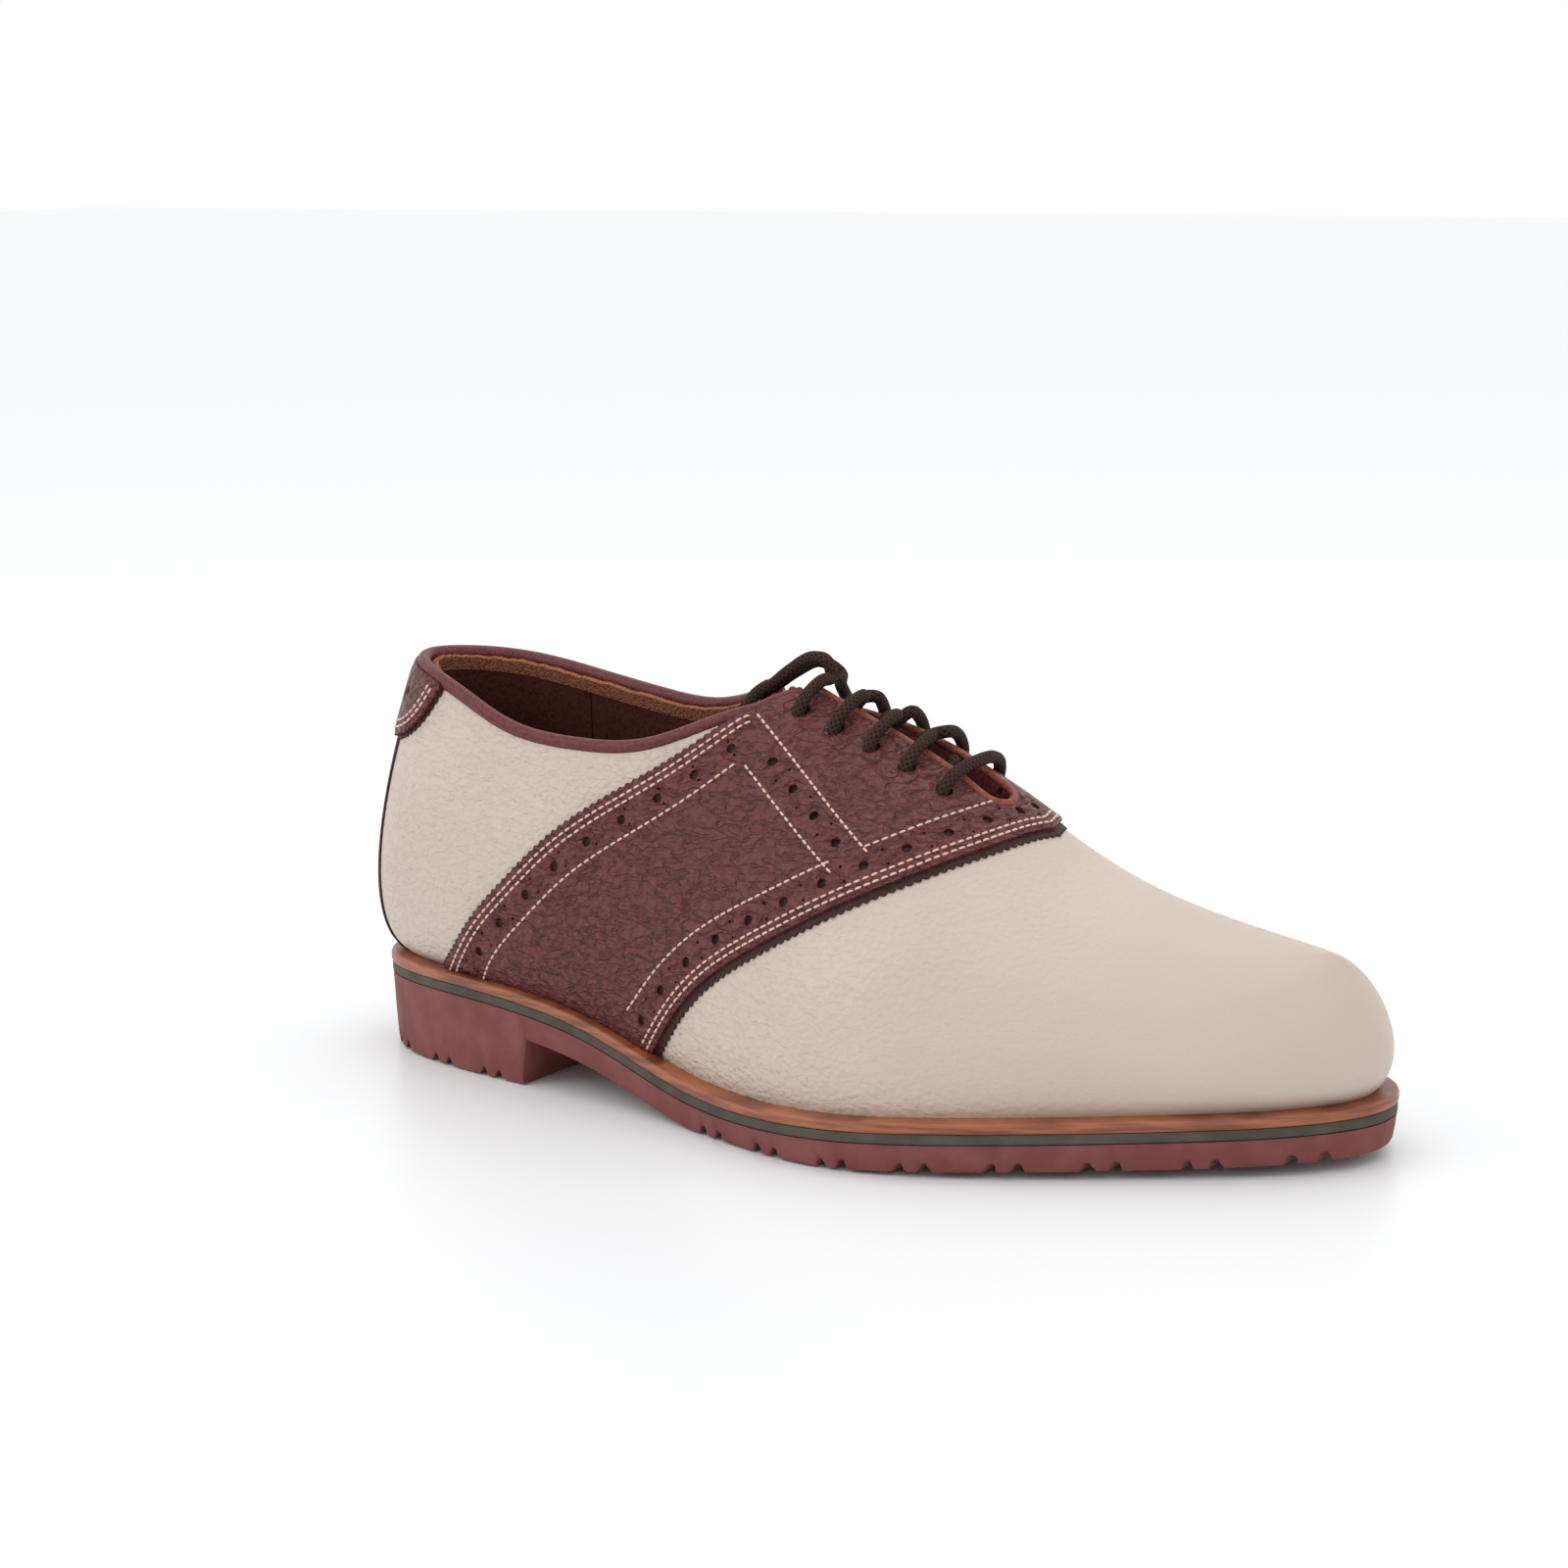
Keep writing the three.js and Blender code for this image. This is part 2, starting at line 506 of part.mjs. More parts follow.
// One strand, as [row, side x distance from the throat centre, offset]: each loop comes from under one
// facing up through its eyelet, over the edge, and down across the gap to under the other facing.
const LOOP = [[0, 13, -5], [0, 15, -2.2], [0, 14.6, 1.6], [0, 11.5, 4.6], [0.05, 6.6, 5.5], [0.14, 2.6, 4.9]];
function strand(firstSide, crossing) {
  const points = [];
  let side = firstSide;
  for (let row = 1; row < EYELET_ROWS; row++) {
    points.push([row - 0.5, -side * 0.8, crossing], [row - 0.16, side * 6.5, UNDER_FACING]);
    for (const [more, d, off] of LOOP) points.push([row + more, side * d, off]);
    side = -side;
  }
  return points;
}
const LACE_BAR = [[0, -14.8, -2.2], [0, -14.2, 1.8], [0, -11.2, 4.6], [0, -6, 5.2], [0, 0, 5.3],
  [0, 6, 5.2], [0, 11.2, 4.6], [0, 14.2, 1.8], [0, 14.8, -2.2]];
const laceRoute = [
  ...strand(1, 1.2).reverse(), [0.1, -11, -5.4], ...LACE_BAR, [0.1, 11, -5.4], ...strand(-1, -3.2),
];
const lacePoints = laceRoute.map((point) => laceAt(...point));
// Each end arches over the top of the throat, goes in beneath the facing and down the inner wall to the
// sock, where the rest of it lies along the wall.
const TUCK = [[0.38, 0.925, -1.4], [0.378, 0.86, -0.8], [0.38, 0.79, 0], [0.381, 0.71, 0], [0.38, 0.61, 0],
  [0.378, 0.5, 0], [0.37, 0.33, 0], [0.355, 0.17, 0.5], [0.32, 0.11, 1], [0.27, 0.1, 1], [0.22, 0.1, 1]];
function tail(side) {
  const arch = [[4.35, side * 3, 8.5], [4.8, side * 1.6 - 1, 7], [5.15, side * 2 - 1.5, 1.5],
    [5.5, side * 3.4 - 1, -5]];
  return [
    ...arch.map((point) => laceAt(...point)),
    ...TUCK.map(([u, t, more]) => skin(atStation(u, side), t, UNDER_FACING - 0.2 - more)),
  ];
}
lacePoints.unshift(...tail(-1).reverse());
lacePoints.push(...tail(1));
const laceSteps = Math.round(1.6 * (lacePoints.length - 1));
const lace = bar(lacePoints, LACE_R, laceSteps, 6);
const laceAir = bar(lacePoints, LACE_R + GAP, laceSteps, 6);
function aglet([end, before]) {
  const along = end.clone().sub(before).normalize();
  const from = end.clone().addScaledVector(along, GAP);
  return bar([from, from.clone().addScaledVector(along, AGLET_LENGTH)], LACE_R * 0.8, 2, 8);
}

// ---------------------------------------------------------------- the upper's pieces
const belowWelt = slab(-GAP, 60);
const toplineFat = bar(toplinePath, (layer.saddle[1] - layer.lining[0]) / 2 + GAP, 44, 6);
const cutClear = (solid, ...cutters) => cutters.reduce((left, cutter) => left.subtract(cutter), solid);
const biggest = (solid) =>
  solid.decompose().sort((a, b) => b.volume() - a.volume())[0];
const trimmed = (solid, ...cutters) => biggest(cutClear(solid, belowWelt, ...cutters));
const plus = (f, mm) => (t, side) => f(t, side) + mm * perU;
const sideOf = (side) => ({
  rear: (t) => rear(t, side),
  front: (t) => front(t, side),
});
const heelS = 0.0007; // half of the gap at the back seam
const seamS = (side) => (side < 0 ? S_BACK + heelS : S_BACK + 1 - heelS);

const vamp = trimmed(toeCap(plus(front, -LAP), [13, ROWS], layer.upper));
function quarter(side) {
  const { rear: line } = sideOf(side);
  const from = () => seamS(side);
  const to = (t) => atStation(line(t) + LAP * perU, side);
  return trimmed(flank(from, to, topT, [14, 8], layer.upper), toplineAir);
}
const throatCutters = [throatOpening, throatAir, laceAir];
const saddle = trimmed(bridge(rear, front, [9, ROWS], layer.saddle), toplineFat, ...throatCutters);
const frontGimp = trimmed(bridge(plus(front, -GIMP_HIDDEN), plus(front, GIMP_SHOWS), [2, ROWS], layer.gimp));
function rearGimp(side) {
  const { rear: line } = sideOf(side);
  return trimmed(halfBridge(side, plus(line, -GIMP_SHOWS), plus(line, GIMP_HIDDEN), [2, 10], layer.gimp,
    LOW, topT(TOPLINE_END, side)), toplineFat);
}
function doubler(side) {
  const { rear: back, front: fore } = sideOf(side);
  const top = topT(TOPLINE_END, side);
  const from = (t) => back(t) + mix(LAP + 1, 4, smoothstep(t, top + 0.06, top + 0.1)) * perU;
  return trimmed(halfBridge(side, from, plus(fore, -LAP - 1), [6, ROWS / 2], layer.doubler),
    toplineFat, throatOpening, throatAir, laceAir);
}
const stripHalf = (t) => (STRIP_HALF + STRIP_FLARE * (1 - smoothstep(t, 0, 0.5))) / 550;
const patchHalf = (t) => PATCH_HALF / 400 * smoothstep(t, 0.44, 0.56) + 0.004;
const backStrip = trimmed(
  flank((t) => S_BACK - stripHalf(t), (t) => S_BACK + stripHalf(t), topT, [10, 10], layer.gimp),
  toplineFat);
const backPatch = trimmed(
  flank((t) => S_BACK - patchHalf(t), (t) => S_BACK + patchHalf(t), topT, [20, 6], layer.saddle, 0.47),
  toplineFat);

const counterTop = (u) => 0.46 - 0.9 * u;
const heelCounter = trimmed(flank(() => atStation(0.24, 1) - 1, () => atStation(0.24, -1), counterTop,
  [16, 5], layer.stiffener));
const toePuff = trimmed(toeCap(() => 0.85, [7, ROWS], layer.stiffener));
const LINING_FRONT = 0.52;
const heelLining = trimmed(flank(() => atStation(LINING_SEAM, 1) - 1, () => atStation(LINING_SEAM, -1), topT,
  [16, 6], layer.lining), toplineFat);
// The station at which the topline stands at t, behind the throat.
function toplineU(t, side) {
  let back = 0.16;
  let fore = TOPLINE_END;
  if (t > topT(fore, side)) return rear(t, side);
  for (let i = 0; i < 30; i++) {
    const middle = (back + fore) / 2;
    if (topT(middle, side) < t) back = middle;
    else fore = middle;
  }
  return Math.max(back, LINING_SEAM + 0.4 * perU);
}
function quarterLining(side) {
  const from = (t) => (t < topT(0.16, side) ? LINING_SEAM + 0.4 * perU : toplineU(t, side));
  return trimmed(halfBridge(side, from, () => LINING_FRONT, [6, ROWS / 2], layer.lining),
    toplineFat, throatOpening, laceAir);
}
const vampLining = trimmed(
  toeCap(() => LINING_FRONT + 0.4 * perU, [10, ROWS], layer.lining), throatOpening, laceAir);
const tongue = patch((v, w, off) => {
  const u = mix(TONGUE_TOP, TONGUE_BASE, v);
  const half = TONGUE_HALF * (0.8 + 0.2 * Math.sin(Math.PI * v));
  return skin(...across(u, throatCentre(u) + (2 * w - 1) * half), off - TONGUE_SINK * (1 - v) ** 2);
}, [12, 8], layer.tongue);

function eyelet(row, side) {
  const at = (off) => laceAt(row, side * (THROAT_HALF + EYELET_INSET), off);
  const disc = bar([at(layer.lining[1] + 0.25), at(-UPPER_THICK - 0.75)], EYELET_OUTER_R, 1, 12);
  return biggest(disc.subtract(laceAir));
}

// ---------------------------------------------------------------- materials and the assembly
const material = (color, roughness, metalness = 0) =>
  new THREE.MeshStandardMaterial({ color, roughness, metalness });
const RUBBER = material(0x7f4a46, 0.7);
const MIDSOLE = material(0x4a4238, 0.75);
const WELT_LEATHER = material(0xa05c3a, 0.5);
const CREAM = material(0xd8cbb9, 0.5);
const OXBLOOD = material(0x704242, 0.4);
const EDGING = material(0x3a2620, 0.5);
const BEAD = material(0x80484a, 0.45);
const TAN = material(0x9a5238, 0.5);
const LINING = material(0x4a2420, 0.7);
const BOARD = material(0xa98b67, 0.85);
const CORK = material(0x9c7a52, 0.95);
const STEEL = material(0x9a9da0, 0.35, 1);
const STIFFENER = material(0xcfc4ae, 0.8);
const BRASS = material(0x6b5a3e, 0.4, 1);
const CORD = material(0x3d302b, 0.8);
const PLASTIC = material(0x2e2522, 0.4);

const shoe = new THREE.Group();
const group = new THREE.Group();
group.add(shoe);
function add(name, solid, finish) {
  const mesh = new THREE.Mesh(toGeometry(solid), finish);
  mesh.name = name;
  shoe.add(mesh);
}
add("outsole", outsole, RUBBER);
add("midsole", midsole, MIDSOLE);
add("welt", welt, WELT_LEATHER);
add("cork_filler", filler, CORK);
add("shank", shank, STEEL);
add("insole_board", insole, BOARD);
add("sock_liner", sock, LINING);
add("vamp", vamp, CREAM);
add("saddle", saddle, OXBLOOD);
add("saddle_front_gimp", frontGimp, EDGING);
add("back_strip", backStrip, EDGING);
add("back_patch", backPatch, OXBLOOD);
add("heel_counter", heelCounter, STIFFENER);
add("toe_puff", toePuff, STIFFENER);
add("heel_lining", heelLining, LINING);
add("vamp_lining", vampLining, LINING);
add("topline_binding", topline, BEAD);
add("throat_binding", throatBead, TAN);
add("tongue", tongue, OXBLOOD);
add("lace", lace, CORD);
for (const [side, name] of [[-1, "lateral"], [1, "medial"]]) {
  add(`quarter_${name}`, quarter(side), CREAM);
  add(`saddle_rear_gimp_${name}`, rearGimp(side), EDGING);
  add(`saddle_doubler_${name}`, doubler(side), STIFFENER);
  add(`quarter_lining_${name}`, quarterLining(side), LINING);
  add(`aglet_${name}`, aglet(side < 0 ? lacePoints : lacePoints.slice(-2).reverse()), PLASTIC);
  for (let row = 0; row < EYELET_ROWS; row++)
    add(`eyelet_${name}_${row + 1}`, eyelet(row, side), BRASS);
}
const middle = new THREE.Box3().setFromObject(shoe).getCenter(new THREE.Vector3());
shoe.position.set(-middle.x, -middle.y, 0);

export default group;
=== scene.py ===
"""A right golf shoe of the saddle kind: welted, with a brogued saddle and a grooved rubber sole."""
import math

import bmesh
import bpy
import numpy as np
from mathutils import Matrix, Vector
from mathutils.geometry import delaunay_2d_cdt


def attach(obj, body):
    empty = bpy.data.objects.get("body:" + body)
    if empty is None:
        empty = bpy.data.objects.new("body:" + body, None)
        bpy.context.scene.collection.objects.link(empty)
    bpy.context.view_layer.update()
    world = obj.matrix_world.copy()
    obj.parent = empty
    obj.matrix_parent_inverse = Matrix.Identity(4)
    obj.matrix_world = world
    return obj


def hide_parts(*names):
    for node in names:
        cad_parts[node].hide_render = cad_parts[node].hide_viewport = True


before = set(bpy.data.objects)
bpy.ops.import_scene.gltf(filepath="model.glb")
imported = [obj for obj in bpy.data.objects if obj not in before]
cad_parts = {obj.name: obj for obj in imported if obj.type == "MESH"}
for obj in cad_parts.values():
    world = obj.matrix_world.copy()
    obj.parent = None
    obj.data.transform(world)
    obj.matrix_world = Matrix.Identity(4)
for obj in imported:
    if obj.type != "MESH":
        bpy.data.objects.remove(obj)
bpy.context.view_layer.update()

# ---------------------------------------------------------------------------
# Outsole: one moulding of brick rubber, heel and all, with grooves across it that show as notches in
# its edge. Matt, a little dusty, with the sanded side wall that trimming leaves.
# Sizes are millimetres from the heel back along X and from the sole's middle line along Y.
SOLE_LENGTH = 303.0
SOLE_WIDTH = 114.0
WELT_MARGIN = 5.5
OUTLINE = [
    (0, 0.035), (0.033, -0.167), (0.116, -0.281), (0.231, -0.342), (0.343, -0.386), (0.462, -0.482),
    (0.571, -0.561), (0.663, -0.544), (0.756, -0.439), (0.851, -0.289), (0.947, -0.114), (1, 0.088),
    (0.98, 0.281), (0.908, 0.386), (0.809, 0.439), (0.703, 0.439), (0.601, 0.395), (0.498, 0.325),
    (0.38, 0.289), (0.254, 0.307), (0.129, 0.316), (0.04, 0.228),
]
WELT_TOP = [26.6, 27, 23, 13.6, 12.6, 14.2, 15, 16]
WELT_THICK, MIDSOLE_THICK, JOINT_GAP = 3.0, 2.8, 0.05
SOLID_GAP = 0.3  # between the layers of the solid model, which set the waist's height
HEEL_LENGTH, BREAST_RAKE, WAIST_RUBBER = 73.0, 3.0, 6.6
TOE_SPRING, SPRING_START = 2.6, 200.0
TREAD_DEPTH, TREAD_WIDTH, TREAD_PITCH, NOTCH_PAIR = 2.2, 2.6, 21.0, 6.0
HEEL_GROOVES, FORE_GROOVES = (59.0, 6.0), (140.0, 291.0)  # from the first one to the limit
# The frame is centred on the whole shoe; this is where the heel back and the middle line come in it.
CENTRING = np.array([-149.498, 6.933, 0.0])


def unit(v):
    """Vectors of length 1."""
    return v / np.maximum(np.linalg.norm(v, axis=-1, keepdims=True), 1e-9)


def run_length(points):
    """Length along a line of points, from 0 at its first."""
    return np.concatenate([[0], np.cumsum(np.linalg.norm(np.diff(points, axis=0), axis=1))])


def spline(points, closed=False):
    """Cubic through points at equal steps of x, 0 to 1, whose slope and bend run on through each one."""
    p = np.asarray(points, float)
    p = p[:, None] if p.ndim == 1 else p
    n = len(p)
    bands = 4 * np.eye(n) + np.eye(n, k=1) + np.eye(n, k=-1)
    if closed:
        bands[0, -1] = bands[-1, 0] = 1
        pull = 3 * (np.roll(p, -1, 0) - np.roll(p, 1, 0))
    else:
        bands[0, 0] = bands[-1, -1] = 2
        i = np.arange(n)
        pull = 3 * (p[np.minimum(i + 1, n - 1)] - p[np.maximum(i - 1, 0)])
    d = np.linalg.solve(bands, pull)
    spans = n if closed else n - 1

    def curve(x, slope=False):
        x = np.asarray(x, float)
        y = (x % 1.0) * n if closed else x * spans
        i = np.clip(np.floor(y).astype(int), 0, spans - 1)
        j = (i + 1) % n
        q = (y - i)[..., None]
        if slope:
            out = ((6 * q * q - 6 * q) * (p[i] - p[j]) + (3 * q * q - 4 * q + 1) * d[i]
                   + (3 * q * q - 2 * q) * d[j]) * spans
        else:
            r = 1 - q
            out = (p[i] * (1 + 2 * q) * r * r + d[i] * q * r * r
                   + p[j] * q * q * (3 - 2 * q) - d[j] * q * q * r)
        return out if p.shape[1] > 1 else out[..., 0]
    return curve


sole_curve = spline(np.array(OUTLINE) * [SOLE_LENGTH, SOLE_WIDTH], closed=True)
welt_top = spline(WELT_TOP)


def outline(s, off=0.0):
    """Plan of the sole at s (0 heel, lateral side first, about 0.5 toe), pushed outwards by off."""
    p, d = sole_curve(s), unit(sole_curve(s, slope=True))
    return p + np.stack([d[..., 1], -d[..., 0]], -1) * np.asarray(off)[..., None]


def feather(s):
    """The line where the upper meets the welt."""
    return outline(s, -WELT_MARGIN)


turns = np.arange(720) / 720
feather_x = feather(turns)[:, 0]
X_BACK, X_TIP = feather_x.min(), feather_x.max()
S_BACK, S_TIP = turns[feather_x.argmin()], turns[feather_x.argmax()]


def station(x):
    """Share u of the feather line's length along X, 0 at the heel and 1 at the toe."""
    return np.clip((np.asarray(x) - X_BACK) / (X_TIP - X_BACK), 0, 1)


def tread_z(x):
    """Height of the rubber's underside: flat, raised under the waist, springing up at the toe."""
    spring = TOE_SPRING * np.clip((x - SPRING_START) / (SOLE_LENGTH - SPRING_START), 0, 1) ** 2
    waist = welt_top(station(x)) - WELT_THICK - MIDSOLE_THICK - 2 * SOLID_GAP - WAIST_RUBBER
    front = np.maximum(waist, spring)
    lift = np.clip((x - (HEEL_LENGTH - BREAST_RAKE)) / 1.2, 0, 1)
    return np.where(x < HEEL_LENGTH, front * lift, front)


def groove_depth(x):
    """Depth of the tread's grooves at x: pairs of slots with slightly drafted sides."""
    heel = np.arange(HEEL_GROOVES[0], HEEL_GROOVES[1], -TREAD_PITCH)
    fore = np.arange(FORE_GROOVES[0], FORE_GROOVES[1], TREAD_PITCH)
    starts = np.concatenate([heel, heel - NOTCH_PAIR, fore, fore + NOTCH_PAIR])
    middle = starts[:, None] + TREAD_WIDTH / 2
    inside = np.clip((TREAD_WIDTH / 2 - np.abs(x[None, :] - middle)) / 0.4, 0, 1)
    return TREAD_DEPTH * inside.max(axis=0)


def to_linear(hex_colour):
    """sRGB hex to linear red, green, blue, 1."""
    c = np.array([int(hex_colour[i:i + 2], 16) for i in (1, 3, 5)]) / 255
    c = np.where(c <= 0.04045, c / 12.92, ((c + 0.055) / 1.055) ** 2.4)
    return (*c.tolist(), 1.0)


def add_node(tree, kind, inputs=None, **settings):
    """One shader node with its settings, and its inputs as values or as sockets to link."""
    n = tree.nodes.new("ShaderNode" + kind)
    for key, value in settings.items():
        setattr(n, key, value)
    for key, value in (inputs or {}).items():
        if isinstance(value, bpy.types.NodeSocket):
            tree.links.new(value, n.inputs[key])
        else:
            n.inputs[key].default_value = value
    return n


def new_material(name, roughness, **sockets):
    """A Principled material with these values on the shader's own sockets, and its node tree."""
    material = bpy.data.materials.new(name)
    material.use_nodes = True
    sockets["Roughness"] = roughness
    for key, value in sockets.items():
        principled(material.node_tree)[key.replace("_", " ")].default_value = value
    return material, material.node_tree


def principled(tree):
    """The sockets of a material's shader."""
    return tree.nodes["Principled BSDF"].inputs


def plain(name, colour, roughness, **sockets):
    """A material of one even colour."""
    return new_material(name, roughness, Base_Color=to_linear(colour), **sockets)[0]


def dress(tree, colour, normal):
    """Link a colour and a normal into the shader."""
    tree.links.new(colour, principled(tree)["Base Color"])
    tree.links.new(normal, principled(tree)["Normal"])


def add_object(name, data):
    """An object of these data in the scene."""
    made = bpy.data.objects.new(name, data)
    bpy.context.scene.collection.objects.link(made)
    return made


def angles(count):
    """Equal steps round a circle."""
    return np.arange(count) / count * 2 * math.pi


def object_space(tree):
    """The piece's own coordinates, metres."""
    return add_node(tree, "TexCoord").outputs["Object"]


def calc(tree, operation, *values):
    """One arithmetic node's result."""
    return add_node(tree, "Math", dict(enumerate(values)), operation=operation).outputs[0]


def noise(tree, where, size_mm, detail):
    """Noise whose patches are about size_mm across."""
    inputs = {"Vector": where, "Scale": 1000 / size_mm, "Detail": detail}
    return add_node(tree, "TexNoise", inputs).outputs["Fac"]


def remap(tree, value, low, high, to_low=0.0, to_high=1.0):
    """The range from low to high stretched to the one from to_low to to_high."""
    return add_node(tree, "MapRange", {"Value": value, "From Min": low, "From Max": high,
                                       "To Min": to_low, "To Max": to_high}).outputs["Result"]


def mixed_colour(tree, factor, colour_a, colour_b):
    """From colour_a at factor 0 to colour_b at 1."""
    mix = add_node(tree, "Mix", {"Factor": factor}, data_type="RGBA")
    mix.inputs[6].default_value = to_linear(colour_a)
    mix.inputs[7].default_value = to_linear(colour_b)
    return mix.outputs[2]


def blotched(tree, colour_a, colour_b, size_mm, detail, low, high):
    """Colour drifting between two over patches of about size_mm."""
    drift = noise(tree, object_space(tree), size_mm, detail)
    return mixed_colour(tree, remap(tree, drift, low, high), colour_a, colour_b)


def bump_from(tree, height, depth_mm, normal=None):
    """A bump of that real depth for a height from 0 to 1."""
    inputs = {"Height": height, "Distance": depth_mm / 1000, "Strength": 1.0}
    if normal is not None:
        inputs["Normal"] = normal
    return add_node(tree, "Bump", inputs).outputs["Normal"]


def moulded_rubber(name, colour, dusty):
    """Matt moulded rubber with fine sanding marks and a trace of dust."""
    material, tree = new_material(name, 0.7)
    grit = noise(tree, object_space(tree), 0.8, 3.0)
    dust = blotched(tree, colour, dusty, size_mm=9.0, detail=8.0, low=0.42, high=0.75)
    dress(tree, dust, bump_from(tree, grit, depth_mm=0.12))
    return material


def new_piece(name, points, faces, material, slot, stands_for=(), body="shoe", angle=38.0, weld=False):
    """A mesh from points in millimetres and faces, closed, facing out, riding on a body."""
    mesh = bpy.data.meshes.new(name)
    placed = (np.asarray(points, float).reshape(-1, 3) + CENTRING) / 1000
    mesh.from_pydata(placed.tolist(), [], faces if isinstance(faces, list) else faces.tolist())
    work = bmesh.new()
    work.from_mesh(mesh)
    if weld:
        bmesh.ops.remove_doubles(work, verts=work.verts, dist=2e-6)
    bmesh.ops.recalc_face_normals(work, faces=work.faces)
    work.to_mesh(mesh)
    work.free()
    mesh.materials.append(material)
    mesh.shade_smooth()
    mesh.set_sharp_from_angle(angle=math.radians(angle))
    piece = add_object(name, mesh)
    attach(piece, body)
    if stands_for:
        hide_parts(*stands_for)
    return piece


def quads(rows, columns, wrap_rows=False, wrap_columns=False, start=0):
    """Faces of a grid of rows x columns points, joined round where it wraps."""
    i = np.arange(rows if wrap_rows else rows - 1)[:, None]
    j = np.arange(columns if wrap_columns else columns - 1)[None, :]
    i2, j2 = (i + 1) % rows, (j + 1) % columns
    return np.stack([i * columns + j, i2 * columns + j, i2 * columns + j2, i * columns + j2],
                    -1).reshape(-1, 4) + start


AROUND = 900  # points round the sole, at equal steps of length
turns = np.linspace(0, 1, 4001)
length = run_length(outline(turns))
ring = np.interp(np.arange(AROUND) / AROUND * length[-1], length, turns)


def facing_pairs():
    """Parameters s of points straight across from each other, heel to toe: lateral ones, then medial."""
    lateral, medial = np.linspace(S_BACK, S_TIP, 6000), np.linspace(S_BACK + 1, S_TIP, 6000)
    x_lateral = np.maximum.accumulate(feather(lateral)[:, 0])
    x_medial = np.maximum.accumulate(feather(medial)[:, 0])
    length = run_length(feather(lateral))
    x = np.interp(np.linspace(0, length[-1], AROUND // 2), length, x_lateral)
    x[0], x[-1] = X_BACK, X_TIP
    pair = np.array([np.interp(x, x_lateral, lateral), np.interp(x, x_medial, medial)])
    pair[:, 0], pair[:, -1] = (S_BACK, S_BACK + 1), S_TIP
    return pair


def sole_layer(name, top_drop, bottom, overhangs, material, slot, stands_for, shares):
    """A slab of the sole: at each station its section runs up the lateral edge at shares of the height,
    pushed out by overhangs, and down the medial one; the two edges meet at heel and toe."""
    sides = []
    for s in facing_pairs():
        rows = []
        for share, over in zip(shares, overhangs):
            p = outline(s, over)
            top = welt_top(station(p[:, 0])) - top_drop
            low = bottom(p[:, 0])
            rows.append(np.column_stack([p, low + (top - low) * share]))
        sides.append(rows)
    section = np.array(sides[0] + sides[1][::-1])
    return new_piece(name, section.reshape(-1, 3), quads(len(section), AROUND // 2, wrap_rows=True),
                     material, slot, stands_for, angle=45, weld=True)


# Brick rubber, moulded and buffed: matt, with paler dust in the texture.
BRICK_RUBBER = moulded_rubber("buffed brick rubber", "#743935", "#824A44")


def rubber_bottom(x):
    """Underside of the rubber with the grooves cut in."""
    return tread_z(x) + groove_depth(x)


sole_layer("outsole_moulding", WELT_THICK + MIDSOLE_THICK + JOINT_GAP, rubber_bottom,
           [-1.5, -1.1, -0.6, -0.2, -0.1], BRICK_RUBBER, "outsole_rubber", ["outsole"],
           [0.0, 0.12, 0.5, 0.94, 1.0])

# ---------------------------------------------------------------------------
# Midsole: a sheet of dark olive crepe rubber between outsole and welt, sanded flush at the edge.
DARK_CREPE = moulded_rubber("sanded dark crepe rubber", "#3F3A31", "#524C40")
sole_layer("midsole_sheet", WELT_THICK + JOINT_GAP,
           lambda x: welt_top(station(x)) - WELT_THICK - MIDSOLE_THICK, [-0.5, 0, 0, -0.2],
           DARK_CREPE, "midsole_rubber", ["midsole"], [0.0, 0.15, 0.85, 1.0])

# ---------------------------------------------------------------------------
# Welt: a strip of vegetable-tanned leather round the whole upper, its edge cut, sanded and waxed to
# cognac, the top a shade lighter. It is stitched to the midsole just inside its edge.
WELT_INNER = 7.0


def burnished_leather(name, light, dark):
    """Waxed cut leather edge: layered fibres along the strip, with a soft polish."""
    material, tree = new_material(name, 0.42, Coat_Weight=0.15, Coat_Roughness=0.3)
    layers = add_node(tree, "Mapping", {"Vector": object_space(tree), "Scale": (60, 60, 900)})
    fibre = noise(tree, layers.outputs["Vector"], 1000, 6.0)
    dress(tree, mixed_colour(tree, remap(tree, fibre, 0.38, 0.62), dark, light), bump_from(tree, fibre, 0.15))
    return material


COGNAC_WELT = burnished_leather("waxed cognac welt leather", "#A05C36", "#743C25")
# Its section, rounded at the outer edge, is carried round the outline.
section = [(-WELT_MARGIN - WELT_INNER, 0), (-1.0, 0), (-0.35, -0.12), (0.1, -0.5), (0.3, -1.1),
           (0.3, -2.2), (0.0, -2.8), (-0.5, -WELT_THICK), (-WELT_MARGIN - WELT_INNER, -WELT_THICK)]
rows = []
for off, drop in section:
    plan = outline(ring, off)
    rows.append(np.column_stack([plan, welt_top(station(plan[:, 0])) + drop]))
new_piece("welt_strip", np.concatenate(rows), quads(len(section), AROUND, wrap_rows=True, wrap_columns=True),
          COGNAC_WELT, "welt_leather", ["welt"], angle=50)

